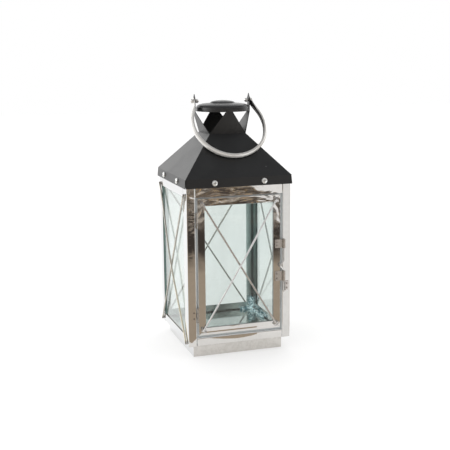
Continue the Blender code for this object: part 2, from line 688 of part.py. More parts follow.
def build_cap():
    """A spun cap: an upright rim, a low dome, and a raised button in the middle."""
    def dome(radius_from, radius_to, z_from, z_to, count):
        """Points from the inner radius out and down an elliptical dome."""
        points = []
        for k in range(count + 1):
            angle = math.pi / 2 * k / count
            points.append((radius_from + (radius_to - radius_from) * math.sin(angle),
                           z_to + (z_from - z_to) * math.cos(angle)))
        return points

    shoulder = 0.0010
    outer = dome(0, CAP_BUTTON_RADIUS, CAP_TOP_Z, CAP_BUTTON_Z + 0.0006, 5)
    outer += dome(CAP_BUTTON_RADIUS + shoulder, CAP_RADIUS - shoulder, CAP_BUTTON_Z,
                  CAP_RIM_HIGH + shoulder, 5)
    outer += [(CAP_RADIUS - shoulder * 0.3, CAP_RIM_HIGH + shoulder * 0.7), (CAP_RADIUS, CAP_RIM_HIGH),
              (CAP_RADIUS, CAP_RIM_LOW)]
    inner = [(CAP_RADIUS - CAP_SHEET, CAP_RIM_LOW), (CAP_RADIUS - CAP_SHEET, CAP_RIM_HIGH - 0.0002)]
    lower_dome = dome(CAP_BUTTON_RADIUS + 0.0005, CAP_RADIUS - shoulder - CAP_SHEET,
                      CAP_BUTTON_Z - CAP_SHEET, CAP_RIM_HIGH + shoulder - CAP_SHEET - 0.0002, 4)
    inner += lower_dome[::-1]
    inner += dome(0, CAP_BUTTON_RADIUS - CAP_SHEET, CAP_TOP_Z - CAP_SHEET, CAP_BUTTON_Z - 0.0002, 3)[::-1]
    turned("roof_cap", outer + inner, black_enamel(), 40, location=(CAP_OFFSET, 0, 0))


def build_roof_screws():
    """Eight pan-head screws with cross recesses: two through each side of the skirt, into the top rails."""
    head, shank = SCREW_HEAD_RADIUS, SCREW_SHANK_RADIUS
    angles = [math.pi / 2 * k / 4 for k in range(5)]
    dome = [(head * math.sin(a), SCREW_HEAD_HEIGHT * (0.35 + 0.65 * math.cos(a))) for a in angles]
    profile = [*dome, (head, 0), (shank, 0), (shank, 0.001 - SCREW_LENGTH), (shank * 0.45, -SCREW_LENGTH),
               (0, -SCREW_LENGTH)]
    pattern = turned("screw_pattern", profile, zinc_screw(), 18)
    slot, reach = 0.00075, 0.0022
    for name, low, high in (
        ("recess_a", (-reach, -slot / 2, 0.0010), (reach, slot / 2, 0.004)),
        ("recess_b", (-slot / 2, -reach, 0.0010), (slot / 2, reach, 0.004)),
    ):
        cut(pattern, box(name, low, high))
    pattern = as_mesh(pattern)
    pattern.data.materials.clear()
    pattern.data.materials.append(zinc_screw())
    mesh = pattern.data
    bpy.data.objects.remove(pattern, do_unlink=True)
    lean = math.atan2(SKIRT_HALF_LOW - SKIRT_HALF_HIGH, SKIRT_HIGH - SKIRT_LOW)
    share = (SCREW_Z - SKIRT_LOW) / (SKIRT_HIGH - SKIRT_LOW)
    face = SKIRT_HALF_LOW + (SKIRT_HALF_HIGH - SKIRT_HALF_LOW) * share
    for quarter, side in enumerate(("front", "right", "back", "left")):
        for name, sign in (("a", -1), ("b", 1)):
            screw = place(f"roof_screw_{side}_{name}", mesh, zinc_screw())
            out = Matrix.Translation((sign * SCREW_SPACING, -face - GAP - 0.0001, SCREW_Z))
            screw.matrix_world = side_turn(quarter) @ out @ Matrix.Rotation(math.pi / 2 - lean, 4, "X")


# ---------------------------------------------------------------- handle
def bail_route():
    """The middle of the handle's strip in its own plane, as (across, down) points from end to end.
    Each end is straight past the pivot, then leans out along the ring's tangent."""
    def half_route(sign):
        bend = Vector((BAIL_PIVOT_HALF, BAIL_FLAT))
        centre = Vector((sign * BAIL_RING_OFFSET, BAIL_RING_CENTRE))
        to_bend = bend - centre
        start = math.atan2(to_bend.y, to_bend.x) + math.acos(BAIL_RING_RADIUS / to_bend.length)
        touch = centre + BAIL_RING_RADIUS * Vector((math.cos(start), math.sin(start)))
        half = [Vector((BAIL_PIVOT_HALF, BAIL_TIP * share)) for share in (-1.0, -0.85, -0.5, 0.0)]
        half += [bend]
        half += [bend.lerp(touch, 0.35), bend.lerp(touch, 0.7), touch]
        arc_steps = 14
        for k in range(1, arc_steps + 1):
            angle = start + (math.pi / 2 - start) * k / arc_steps
            half.append(centre + BAIL_RING_RADIUS * Vector((math.cos(angle), math.sin(angle))))
        return [Vector((sign * p.x, p.y)) for p in half]

    return half_route(1) + half_route(-1)[-2::-1]


def bail_section(along):
    """The strip's cross-section at a distance below the pivot: flat with a rounded end, then rolled to
    a channel. Points are (towards the inside of the loop, across the strip)."""
    rolled = min(max((along - BAIL_FLAT * 0.8) / 0.018, 0.0), 1.0)
    rolled = rolled * rolled * (3 - 2 * rolled)
    half = BAIL_END_HALF + (BAIL_STRIP_HALF - BAIL_END_HALF) * rolled
    if along < 0:
        half = BAIL_END_HALF * max(0.12, math.sqrt(max(0.0, 1 - (along / BAIL_TIP) ** 2)))
    bend = max(rolled, 0.02) / BAIL_BEND_RADIUS
    count = 6
    outer, inner = [], []
    for k in range(count + 1):
        s = half * (2 * k / count - 1)
        angle = s * bend
        depth, across = (1 - math.cos(angle)) / bend, math.sin(angle) / bend
        normal = Vector((math.cos(angle), -math.sin(angle)))
        middle = Vector((depth, across))
        outer.append(middle - normal * BAIL_SHEET / 2)
        inner.append(middle + normal * BAIL_SHEET / 2)
    return outer + inner[::-1]


def bail_angle():
    """How far the handle leans forward of straight down when it rests on the front slope of the roof."""
    slope = math.atan2(NECK_Z - SKIRT_HIGH, SKIRT_HALF_HIGH - NECK_HALF)
    pivot_height = (PIVOT_Z - NECK_Z) * math.cos(slope) - NECK_HALF * math.sin(slope)
    reach = BAIL_RING_CENTRE + BAIL_RING_RADIUS
    clearance = BAIL_BEND_RADIUS + BAIL_SHEET / 2 + GAP
    return math.acos((pivot_height - clearance) / reach) - slope


def build_handle(handle):
    """The bail, rolled to a channel and flattened at its ends, on a screw and a nut through each ear."""
    lean = bail_angle()
    down = Vector((0, -math.sin(lean), -math.cos(lean)))
    normal = Vector((0, -math.cos(lean), math.sin(lean)))
    across = Vector((1, 0, 0))
    route = bail_route()
    travelled = [0.0]
    for a, b in zip(route, route[1:]):
        travelled.append(travelled[-1] + (b - a).length)
    bm = bmesh.new()
    rings = []
    for k, point in enumerate(route):
        ahead = route[min(k + 1, len(route) - 1)]
        behind = route[max(k - 1, 0)]
        tangent = (ahead - behind).normalized()
        inward = Vector((-tangent.y, tangent.x))
        from_end = min(travelled[k], travelled[-1] - travelled[k]) - BAIL_TIP
        ring = []
        for depth, over in bail_section(from_end):
            flat = point + inward * depth
            spot = across * flat.x + down * flat.y + normal * over
            ring.append(bm.verts.new(Vector((0, 0, PIVOT_Z)) + spot))
        rings.append(ring)
    for a, b in zip(rings, rings[1:]):
        for k in range(len(a)):
            n = (k + 1) % len(a)
            bm.faces.new((a[k], a[n], b[n], b[k]))
    bm.faces.new(rings[0])
    bm.faces.new(rings[-1])
    bail = place("handle_bail", mesh_from(bm, "handle_bail"), satin_steel())
    bail.parent = handle
    bail.matrix_parent_inverse = handle.matrix_world.inverted()
    for sign in (-1, 1):
        centre = (sign * BAIL_PIVOT_HALF, 0, PIVOT_Z)
        cut(bail, rod_cutter(f"bail_hole_{sign:+d}", centre, "X", SCREW_HOLE_RADIUS, 0.006, 14))

    seat = BAIL_PIVOT_HALF + BAIL_SHEET / 2 + GAP  # where the screw's head begins
    nut_face = EAR_REACH - ROOF_SHEET - GAP  # where the nut ends, inside the ear
    head, tall, shank = PIVOT_HEAD_RADIUS, PIVOT_HEAD_HEIGHT, PIVOT_SHANK_RADIUS
    shank_end = -(seat - nut_face + PIVOT_NUT_LENGTH * 0.5)
    angles = [math.pi / 2 * k / 5 for k in range(6)]
    screw = [(head * math.sin(a), tall * (0.30 + 0.70 * math.cos(a))) for a in angles]
    screw += [(head * 0.92, 0), (shank, 0), (shank, shank_end), (0, shank_end)]
    nut_angles = [math.pi * 0.75 * k / 6 for k in range(7)]
    nut = [(PIVOT_NUT_RADIUS * math.sin(a), PIVOT_NUT_LENGTH - PIVOT_NUT_RADIUS * (1 - math.cos(a)))
           for a in nut_angles]
    bore, bore_end = shank + 0.0001, PIVOT_NUT_LENGTH * 0.6
    nut += [(PIVOT_NUT_RADIUS * 0.72, 0), (bore, 0), (bore, bore_end), (0, bore_end)]
    for name, sign, outwards, inwards in (("left", -1, "-X", "X"), ("right", 1, "X", "-X")):
        turned(f"pivot_screw_{name}", screw, zinc_screw(), 18, outwards, (sign * seat, 0, PIVOT_Z))
        turned(f"pivot_nut_{name}", nut, zinc_screw(), 18, inwards, (sign * nut_face, 0, PIVOT_Z))


def main():
    clear_scene()
    door = empty("door_axis", (HINGE_X, HINGE_Y, 0))
    bpy.context.view_layer.update()
    slider = empty("bolt_axis", (0, 0, 0), door)
    slider.location = Vector((BOLT_X - HINGE_X, -BODY_HALF - GAP - EYE_RADIUS - HINGE_Y, BOLT_LOW))
    handle = empty("handle_axis", (0, 0, PIVOT_Z))
    bpy.context.view_layer.update()
    build_plinth()
    build_floor()
    build_posts()
    build_rails()
    build_panes()
    build_side_wires()
    build_door(door)
    build_hinges(door)
    build_latch(door, slider)
    build_roof()
    build_cap()
    build_roof_screws()
    build_handle(handle)


main()
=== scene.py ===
# %% [markdown]
# # A square candle lantern
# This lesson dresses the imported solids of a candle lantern: mirror-polished steel, glass, black powder coat
# and satin wire. We only add finishes, the small things a maker leaves behind, such as solder and spot
# welds, and a studio to look at it in.

# %% Load the frame
import math

import bmesh
import bpy
from mathutils import Matrix, Vector, noise


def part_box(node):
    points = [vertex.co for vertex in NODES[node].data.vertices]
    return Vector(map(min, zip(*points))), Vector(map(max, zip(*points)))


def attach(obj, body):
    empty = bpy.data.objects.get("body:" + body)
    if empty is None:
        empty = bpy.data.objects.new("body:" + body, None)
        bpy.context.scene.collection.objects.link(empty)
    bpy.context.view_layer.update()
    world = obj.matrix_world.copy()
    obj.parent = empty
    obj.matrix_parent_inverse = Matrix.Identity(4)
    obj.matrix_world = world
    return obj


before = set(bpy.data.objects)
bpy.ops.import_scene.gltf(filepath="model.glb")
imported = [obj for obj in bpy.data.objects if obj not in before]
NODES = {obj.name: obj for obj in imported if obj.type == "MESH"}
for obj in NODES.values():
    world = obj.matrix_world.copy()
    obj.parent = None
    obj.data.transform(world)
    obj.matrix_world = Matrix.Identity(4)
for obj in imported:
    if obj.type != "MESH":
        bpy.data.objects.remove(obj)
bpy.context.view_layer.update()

FRONT_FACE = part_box("post_front_left")[0].y

# %% [markdown]
# ## The camera
# The camera is a long lens standing 1.4 m away, to the left of the lantern and a little above its middle.
# We could aim it with a constraint. Building its axes from three angles is clearer, and it keeps the small
# roll that a hand-held camera has.

# %% Camera
AZIMUTH, ELEVATION, ROLL = math.radians(-18.003), math.radians(10.846), math.radians(-0.5127)
CAMERA_DISTANCE = 1.37477
CAMERA_SIDE, CAMERA_UP = 0.001828, 0.179791
LENS, SENSOR = 69.058, 36

backwards = Vector((
    math.sin(AZIMUTH) * math.cos(ELEVATION), -math.cos(AZIMUTH) * math.cos(ELEVATION), math.sin(ELEVATION)
))
level_right = (-backwards).cross(Vector((0, 0, 1))).normalized()
level_up = level_right.cross(-backwards)
right = math.cos(ROLL) * level_right + math.sin(ROLL) * level_up
up = math.cos(ROLL) * level_up - math.sin(ROLL) * level_right
camera_at = backwards * CAMERA_DISTANCE + right * CAMERA_SIDE + up * CAMERA_UP

camera_data = bpy.data.cameras.new("lantern_camera")
camera_data.lens = LENS
camera_data.sensor_width = SENSOR
camera_data.clip_start = 0.01
camera = bpy.data.objects.new("lantern_camera", camera_data)
bpy.context.scene.collection.objects.link(camera)
camera.matrix_world = Matrix.Translation(camera_at) @ Matrix((right, up, backwards)).transposed().to_4x4()
bpy.context.scene.camera = camera
print("camera at", [round(c, 3) for c in camera_at])

# %% [markdown]
# ## Helpers for node trees
# Every finish below is a small node tree. These helpers add a node, wire it up and set its sockets, so that
# the recipes read like recipes. A value that is another node's output is linked, and a plain number is set.


# %% Node helpers
def set_or_link(tree, socket, value):
    if hasattr(value, "links"):
        tree.links.new(value, socket)
    else:
        socket.default_value = value


def add_node(tree, kind, links=(), **values):
    """Adds a node. Each link is (socket name or number, value or output); values are settings of the node."""
    node = tree.nodes.new(kind)
    for key, value in values.items():
        setattr(node, key, value)
    for socket, source in links:
        set_or_link(tree, node.inputs[socket], source)
    return node


def maths(tree, operation, a, b=0.0, c=0.0):
    return add_node(tree, "ShaderNodeMath", [(0, a), (1, b), (2, c)], operation=operation).outputs[0]


def spread(tree, value, low, high, to_low=0.0, to_high=1.0):
    """Maps a value from one range to another, held inside the new range."""
    links = [("Value", value), ("From Min", low), ("From Max", high), ("To Min", to_low), ("To Max", to_high)]
    return add_node(tree, "ShaderNodeMapRange", links).outputs[0]


def blend_colours(tree, share, first, second):
    """Mixes two colours. A colour is three plain numbers or another node's output."""
    node = add_node(tree, "ShaderNodeMix", [(0, share)], data_type="RGBA", blend_type="MIX")
    for socket, source in ((6, first), (7, second)):
        set_or_link(tree, node.inputs[socket], source if hasattr(source, "links") else (*source, 1.0))
    return node.outputs[2]


def noise_field(tree, vector, scale, detail=3.0, roughness=0.5, distortion=0.0):
    links = [("Vector", vector), ("Scale", scale), ("Detail", detail), ("Roughness", roughness)]
    return add_node(tree, "ShaderNodeTexNoise", links + [("Distortion", distortion)]).outputs[0]


def stretched(tree, vector, scale, location=(0, 0, 0)):
    links = [("Vector", vector), ("Scale", scale), ("Location", location)]
    return add_node(tree, "ShaderNodeMapping", links).outputs[0]


def axes_of(tree, vector):
    return add_node(tree, "ShaderNodeSeparateXYZ", [(0, vector)]).outputs


def object_normal(tree):
    return add_node(tree, "ShaderNodeTexCoord").outputs["Normal"]


def box_mask(tree, place, low, high, soft=0.0004):
    """1 inside a box in the lantern's own coordinates, 0 outside. None leaves a side of the box open."""
    axes = axes_of(tree, place)
    mask = None
    for axis in range(3):
        for limit, way in ((low[axis], 1), (high[axis], -1)):
            if limit is None:
                continue
            side = spread(tree, axes[axis], limit - way * soft, limit + way * soft)
            mask = side if mask is None else maths(tree, "MULTIPLY", mask, side)
    return mask


print("node helpers ready")

# %% [markdown]
# A shader node group is an effect that several materials share. These helpers make an empty group with named
# sockets, place a group in a material with that material's own values, and start a material or add its bump.


# %% Group and material helpers
NUMBER, VECTOR = "NodeSocketFloat", "NodeSocketVector"


def new_group(name, inputs, outputs):
    """An empty shader node group. Inputs are (name, socket kind, default), outputs are names of numbers."""
    group = bpy.data.node_groups.new(name, "ShaderNodeTree")
    for socket, kind, default in inputs:
        made = group.interface.new_socket(socket, in_out="INPUT", socket_type=kind)
        if default is not None:
            made.default_value = default
    for socket in outputs:
        group.interface.new_socket(socket, in_out="OUTPUT", socket_type=NUMBER)
    return group, group.nodes.new("NodeGroupInput").outputs, group.nodes.new("NodeGroupOutput").inputs


def use_group(tree, group, **values):
    """Places a group. A value can be a number, a vector or another node's output."""
    node = tree.nodes.new("ShaderNodeGroup")
    node.node_tree = group
    for key, value in values.items():
        set_or_link(tree, node.inputs[key.replace("_", " ")], value)
    return node.outputs


def new_material(name):
    """A material with only its Principled shader and its output, and the lantern's own coordinates."""
    made = bpy.data.materials.new(name)
    made.use_nodes = True
    tree = made.node_tree
    place = add_node(tree, "ShaderNodeTexCoord").outputs["Object"]
    return made, tree, tree.nodes["Principled BSDF"], place


def add_bump(tree, shader, height, distance=1.0):
    bump = add_node(tree, "ShaderNodeBump", [("Height", height), ("Strength", 1.0), ("Distance", distance)])
    tree.links.new(bump.outputs[0], shader.inputs["Normal"])


print("group helpers ready")

# %% [markdown]
# ## Shared effects
# Thin polished sheet is never quite flat: it springs where it was folded, welded or clamped, so what it
# mirrors bends and swirls. `sheet_sway` is that unevenness as a height in metres. It adds a steady lean,
# which says how a sheet was mounted, a slow wave along it, and a tighter ripple that grows towards its upper
# end, where the roof's screws pull on it. Between Flat Low and Flat High the sheet doesn't lean, which
# leaves a crisp line across it.

# %% Group: sheet sway
SLOW_WAVES, TIGHT_WAVES = (9, 9, 5), (42, 42, 26)
RIPPLE_FROM, RIPPLE_FULL = 0.15, 0.235
sway_group, g_in, g_out = new_group(
    "sheet_sway",
    [("Place", VECTOR, None), ("Lean X", NUMBER, 0.0), ("Lean Z", NUMBER, 0.0), ("Wave", NUMBER, 0.0002),
     ("Flat Low", NUMBER, 0.0), ("Flat High", NUMBER, 0.0), ("Ripple", NUMBER, 0.00006),
     ("Seed", NUMBER, 0.0), ("Stretch", VECTOR, SLOW_WAVES), ("Tight", VECTOR, TIGHT_WAVES)],
    ["Height"],
)
axes = axes_of(sway_group, g_in["Place"])
above_low = maths(sway_group, "MAXIMUM", axes[2], g_in["Flat Low"])
held = maths(sway_group, "MINIMUM", above_low, g_in["Flat High"])
climb = maths(sway_group, "MULTIPLY", maths(sway_group, "SUBTRACT", axes[2], held), g_in["Lean Z"])
lean = maths(sway_group, "MULTIPLY_ADD", axes[0], g_in["Lean X"], climb)
shift = add_node(sway_group, "ShaderNodeCombineXYZ", [(k, g_in["Seed"]) for k in range(3)]).outputs[0]
moved_links = [(0, g_in["Place"]), (1, shift)]
moved = add_node(sway_group, "ShaderNodeVectorMath", moved_links, operation="ADD").outputs[0]
wave = noise_field(sway_group, stretched(sway_group, moved, g_in["Stretch"]), 1.0, 1.0)
ripple = noise_field(sway_group, stretched(sway_group, moved, g_in["Tight"]), 1.0, 2.0, 0.5, 0.8)
upper = spread(sway_group, axes[2], RIPPLE_FROM, RIPPLE_FULL, 0.12, 1.0)
waves = maths(sway_group, "MULTIPLY", wave, g_in["Wave"])
ripples = maths(sway_group, "MULTIPLY", maths(sway_group, "MULTIPLY", ripple, g_in["Ripple"]), upper)
swaying = maths(sway_group, "ADD", lean, maths(sway_group, "ADD", waves, ripples))
sway_group.links.new(swaying, g_out["Height"])
print("group", sway_group.name)

# %% [markdown]
# `handled` is what handling leaves on bright metal: a faint film that is uneven, and hairlines from wiping.
# It gives a film mask, which tints and roughens the metal, and a hairline mask.

# %% Group: handling marks
handled_group, g_in, g_out = new_group(
    "handled",
    [("Place", VECTOR, None), ("Film Size", NUMBER, 30.0), ("Hairline Size", NUMBER, 260.0)],
    ["Film", "Hairlines"],
)
film = noise_field(handled_group, g_in["Place"], g_in["Film Size"], 5.0, 0.6, 0.6)
handled_group.links.new(spread(handled_group, film, 0.42, 0.72), g_out["Film"])
lined = stretched(handled_group, g_in["Place"], (1.0, 1.0, 0.06))
lines = noise_field(handled_group, lined, g_in["Hairline Size"], 3.0, 0.7, 0.2)
handled_group.links.new(spread(handled_group, lines, 0.55, 0.8), g_out["Hairlines"])
print("group", handled_group.name)

# %% [markdown]
# `worn_edges` finds the outer edges of a piece, where paint thins and polish dulls. The Geometry node's
# Pointiness reads how sharply the surface bends, and a little noise breaks the line up.

# %% Group: worn edges
worn_group, g_in, g_out = new_group(
    "worn_edges",
    [("Place", VECTOR, None), ("Low", NUMBER, 0.52), ("High", NUMBER, 0.62), ("Break Up", NUMBER, 220.0)],
    ["Worn"],
)
point = add_node(worn_group, "ShaderNodeNewGeometry").outputs["Pointiness"]
edge = spread(worn_group, point, g_in["Low"], g_in["High"])
broken = spread(worn_group, noise_field(worn_group, g_in["Place"], g_in["Break Up"], 3.0, 0.6), 0.35, 0.6)
worn_group.links.new(maths(worn_group, "MULTIPLY", edge, broken), g_out["Worn"])
print("group", worn_group.name)

# %% [markdown]
# This group marks the narrow walls of the gap around the door. Little light gets in there, so those walls get
# a painted shade: a duller grey with less metal than the open faces. A wall is a face in the doorway that
# doesn't look forward.

# %% Group: painted shade in the door gap
DOORWAY_LOW, DOORWAY_HIGH = (-0.0690, -0.0799, 0.022), (0.0690, -0.070, 0.2450)
gap_shade_group, g_in, g_out = new_group("gap_painted_shade", [("Place", VECTOR, None)], ["Inset"])
facing = axes_of(gap_shade_group, object_normal(gap_shade_group))
sideways = spread(gap_shade_group, maths(gap_shade_group, "ABSOLUTE", facing[1]), 0.985, 0.85)
in_gap = box_mask(gap_shade_group, g_in["Place"], DOORWAY_LOW, DOORWAY_HIGH)
gap_shade_group.links.new(maths(gap_shade_group, "MULTIPLY", sideways, in_gap), g_out["Inset"])
print("group", gap_shade_group.name)

# %% [markdown]
# This group marks the inner faces of the back posts and rails, which get a painted grey-green shade. A face
# looks inwards when its normal points back to the lantern's middle. The flanges' open edges get a paler
# painted reflection than their corners, which the second output tells apart, with fine upright streaks of
# painted reflection mixed in.

# %% Group: painted inner shade
FLANGE_MIDDLE, FLANGE_SOFT = 0.0735, 0.0003
inner_shade_group, g_in, g_out = new_group("inner_painted_shade", [("Place", VECTOR, None)], ["Soot", "Streaks"])
facing = axes_of(inner_shade_group, object_normal(inner_shade_group))
spot = axes_of(inner_shade_group, g_in["Place"])
to_middle_x = maths(inner_shade_group, "MULTIPLY", facing[0], spot[0])
to_middle = maths(inner_shade_group, "MULTIPLY_ADD", facing[1], spot[1], to_middle_x)
inward = spread(inner_shade_group, to_middle, -0.01, -0.03)
at_back = spread(inner_shade_group, spot[1], 0.02, 0.05)
raised = spread(inner_shade_group, spot[2], 0.020, 0.060, 0.45, 1.0)
inner_shade = maths(inner_shade_group, "MULTIPLY", maths(inner_shade_group, "MULTIPLY", inward, at_back), raised)
inner_shade_group.links.new(inner_shade, g_out["Soot"])
upright = stretched(inner_shade_group, g_in["Place"], (260.0, 260.0, 5.0))
streaks = spread(inner_shade_group, noise_field(inner_shade_group, upright, 1.0, 2.0), 0.38, 0.62)
across = maths(inner_shade_group, "ABSOLUTE", spot[0])
open_side = spread(inner_shade_group, across, FLANGE_MIDDLE + FLANGE_SOFT, FLANGE_MIDDLE - FLANGE_SOFT)
paler_streaks = maths(inner_shade_group, "MULTIPLY_ADD", streaks, 0.25, maths(inner_shade_group, "MULTIPLY", open_side, 0.75))
inner_shade_group.links.new(paler_streaks, g_out["Streaks"])
print("group", inner_shade_group.name)

# %% [markdown]
# `dust` scatters a few pale specks. A Voronoi cell gives each speck a place, and the cell's own random colour
# decides whether it is there at all.

# %% Group: dust
dust_group, g_in, g_out = new_group("dust", [("Place", VECTOR, None), ("Scale", NUMBER, 110.0)], ["Specks"])
cell_links = [("Vector", g_in["Place"]), ("Scale", g_in["Scale"])]
cells = add_node(dust_group, "ShaderNodeTexVoronoi", cell_links).outputs
there = add_node(dust_group, "ShaderNodeSeparateColor", [(0, cells["Color"])]).outputs[0]
size = spread(dust_group, there, 0.90, 1.0, 0.0, 0.10)
dust_group.links.new(maths(dust_group, "GREATER_THAN", size, cells["Distance"]), g_out["Specks"])
print("group", dust_group.name)

# %% [markdown]
# ## Polished steel
# The frame is stainless sheet with a mirror finish. Its own colour is a warm pale grey, and nearly all that
# we see in it is the room. So the recipe is short: full metal, very low roughness, a faint film and
# hairlines, and the sheet's sway as bump. Each strip of the frame was folded and mounted on its own, so each
# gets its own lean. Faces that look to the left get a whiter colour, painted light for the bright left side.


# %% Material: polished steel
LEFT_SIDE_LIGHT, EDGE_POLISH, GAP_SHADE = (0.76, 0.765, 0.77), (0.80, 0.78, 0.75), (0.72, 0.735, 0.735)
INNER_SHADE_DARK, INNER_REFLECTION_PALE = (0.17, 0.25, 0.235), (0.50, 0.60, 0.58)


def polished_steel(
    name, lean=(0.0, 0.0), wave=0.00025, ripple=0.00007, seed=0.0, colour=(0.68, 0.66, 0.635), rough=0.035,
    stretch=SLOW_WAVES, tight=TIGHT_WAVES, flat=(0.0, 0.0)
):
    made, tree, shader, place = new_material(name)
    marks = use_group(tree, handled_group, Place=place, Film_Size=26.0)
    worn = use_group(tree, worn_group, Place=place)["Worn"]
    inner_shade = use_group(tree, inner_shade_group, Place=place)
    inset = use_group(tree, gap_shade_group, Place=place)["Inset"]
    darker = tuple(c * 0.90 for c in colour)
    tint = blend_colours(tree, maths(tree, "MULTIPLY", marks["Film"], 0.5), colour, darker)
    tint = blend_colours(tree, maths(tree, "MULTIPLY", worn, 0.35), tint, EDGE_POLISH)
    # faces that look left get a whiter colour: painted light for the bright side
    looks_left = spread(tree, axes_of(tree, object_normal(tree))[0], -0.8, -0.97)
    tint = blend_colours(tree, looks_left, tint, LEFT_SIDE_LIGHT)
    # inner faces at the back: painted grey-green shade, with paler streaks of painted reflection
    shade_and_streaks = blend_colours(tree, inner_shade["Streaks"], INNER_SHADE_DARK, INNER_REFLECTION_PALE)
    tint = blend_colours(tree, inner_shade["Soot"], tint, shade_and_streaks)
    # walls of the door gap: painted shade, a duller grey with less metal
    tree.links.new(blend_colours(tree, inset, tint, GAP_SHADE), shader.inputs["Base Color"])
    tree.links.new(maths(tree, "MULTIPLY_ADD", inset, -0.7, 1.0), shader.inputs["Metallic"])
    rough_inner = maths(tree, "MULTIPLY_ADD", inner_shade["Soot"], 0.28, rough)
    rough_film = maths(tree, "MULTIPLY_ADD", marks["Film"], 0.035, rough_inner)
    rough_lines = maths(tree, "MULTIPLY_ADD", marks["Hairlines"], 0.05, rough_film)
    tree.links.new(rough_lines, shader.inputs["Roughness"])
    height = use_group(
        tree, sway_group, Place=place, Lean_X=lean[0], Lean_Z=lean[1], Wave=wave, Ripple=ripple, Seed=seed,
        Stretch=stretch, Tight=tight, Flat_Low=flat[0], Flat_High=flat[1]
    )["Height"]
    add_bump(tree, shader, height)
    return made


STEEL = polished_steel("polished_steel")
print("made", STEEL.name)

# %% [markdown]
# Which strip leans which way, in radians. A positive first number turns the mirror towards the left, a
# positive second number turns it down. Strips that aren't named here share the plain recipe.

# %% Steel for each strip
BENT = dict(wave=0.0006)
STRIPS = {
    "post_front_left": dict(BENT, lean=(0.0, 0.004), seed=1.0, ripple=0.00060, tight=(40, 40, 70)),
    "post_front_right": dict(
        lean=(-0.10, 0.0), seed=2.0, ripple=0.00001, wave=0.0001, colour=(0.62, 0.605, 0.585)
    ),
    "bottom_rail_front": dict(lean=(0.0, 0.020), seed=3.0, ripple=0.0, wave=0.0003),
    "top_rail_front": dict(BENT, seed=4.0, ripple=0.00035, tight=(24, 24, 60)),
    "door_stile_left": dict(BENT, seed=5.0, ripple=0.00045),
    "door_stile_right": dict(BENT, lean=(0.0, -0.004), seed=6.5, ripple=0.00055),
    "door_rail_top": dict(lean=(0.0, -0.01), seed=7.0, ripple=0.00030, wave=0.0005, tight=(22, 22, 70)),
    "door_rail_bottom": dict(
        lean=(0.0, 0.15), seed=14.0, ripple=0.0, wave=0.00008, stretch=(12, 12, 60), flat=(0.0384, 0.0405)
    ),
    "plinth": dict(seed=9.0, wave=0.0004, ripple=0.0, stretch=(14, 14, 60), colour=(0.58, 0.555, 0.52)),
}
FRAME_PIECES = ("post_", "bottom_rail", "top_rail", "door_stile", "door_rail", "plinth", "glass_stop")


def dress(node, material):
    """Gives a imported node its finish. The finish sits in the object's own slot, so the mesh isn't touched."""
    for slot in NODES[node].material_slots:
        slot.link = "OBJECT"
        slot.material = material


for node in NODES:
    if node.startswith(FRAME_PIECES):
        dress(node, polished_steel("polished_steel_" + node, **STRIPS[node]) if node in STRIPS else STEEL)
print("steel strips", len(STRIPS))

# %% [markdown]
# The floor of the lantern is the same sheet, but candles have stood on it. It is a little duller and
# greener. The hinge leaves are rolled from a duller, darker strip.

# %% Floor plate and hinges
FLOOR_STEEL = polished_steel(
    "floor_steel", wave=0.00008, ripple=0.0, seed=12.0, colour=(0.46, 0.52, 0.505), rough=0.06
)
HINGE_STEEL = polished_steel("hinge_steel", colour=(0.40, 0.38, 0.36), rough=0.14)
dress("floor_plate", FLOOR_STEEL)
for node in NODES:
    if node.startswith("hinge_") and not node.endswith("_pin"):
        dress(node, HINGE_STEEL)
print("made", FLOOR_STEEL.name, HINGE_STEEL.name)

# %% [markdown]
# ## Satin steel: wires, latch and pivots
# Drawn wire and rolled strip are not mirror-polished. Fine lines run along them, and they show the room as
# soft light and dark bands. A noise stretched hard along the piece would have to follow each diagonal wire,
# so the lines here are fine enough in every direction to read as satin.


# %% Material: satin steel
def satin_steel(name, colour, rough, grain=0.000004, metal=1.0):
    made, tree, shader, place = new_material(name)
    marks = use_group(tree, handled_group, Place=place, Film_Size=60.0, Hairline_Size=500.0)
    tint = blend_colours(tree, marks["Film"], colour, tuple(c * 0.93 for c in colour))
    tree.links.new(tint, shader.inputs["Base Color"])
    tree.links.new(maths(tree, "MULTIPLY_ADD", marks["Hairlines"], 0.08, rough), shader.inputs["Roughness"])
    shader.inputs["Metallic"].default_value = metal
    add_bump(tree, shader, noise_field(tree, place, 700.0, 2.0), grain)
    return made


WIRE = satin_steel("guard_wire", (0.55, 0.52, 0.49), 0.24, metal=0.8)
SIDE_WIRE = satin_steel("side_wire", (0.56, 0.53, 0.47), 0.24, metal=0.7)
# The door's over wire gets a lighter, whiter copy of the wire colour: a painted highlight for its glints.
LIT_WIRE = satin_steel("bright_wire", (0.68, 0.68, 0.675), 0.18, metal=0.8)
STRAP = satin_steel("strap_steel", (0.47, 0.43, 0.39), 0.24, metal=0.75)
KEEPER = satin_steel("keeper_steel", (0.70, 0.67, 0.645), 0.26, metal=0.7)
BOLT = satin_steel("bolt_steel", (0.76, 0.755, 0.74), 0.22, metal=0.7)
PIVOT = satin_steel("pivot_steel", (0.74, 0.73, 0.71), 0.18, metal=0.75)
for node in NODES:
    if node.startswith("wire_") or node.endswith("_pin"):
        dress(node, WIRE)
    if node.startswith("pivot_"):
        dress(node, PIVOT)
SATIN_PIECES = {
    "wire_door_over": LIT_WIRE, "wire_left_over": SIDE_WIRE, "wire_left_under": SIDE_WIRE,
    "latch_guide_lower": STRAP, "latch_guide_upper": STRAP, "latch_keeper": KEEPER, "latch_bolt": BOLT,
}
for node, material in SATIN_PIECES.items():
    dress(node, material)
print("made", WIRE.name, "and", len(SATIN_PIECES), "finishes of its kind")

# %% [markdown]
# The wires were cut and soldered at their ends, and the heat left those ends dark. Low down at the front the
# left wires also turned the colour of straw. We add both to the finished recipes: a mask takes over the base
# colour.

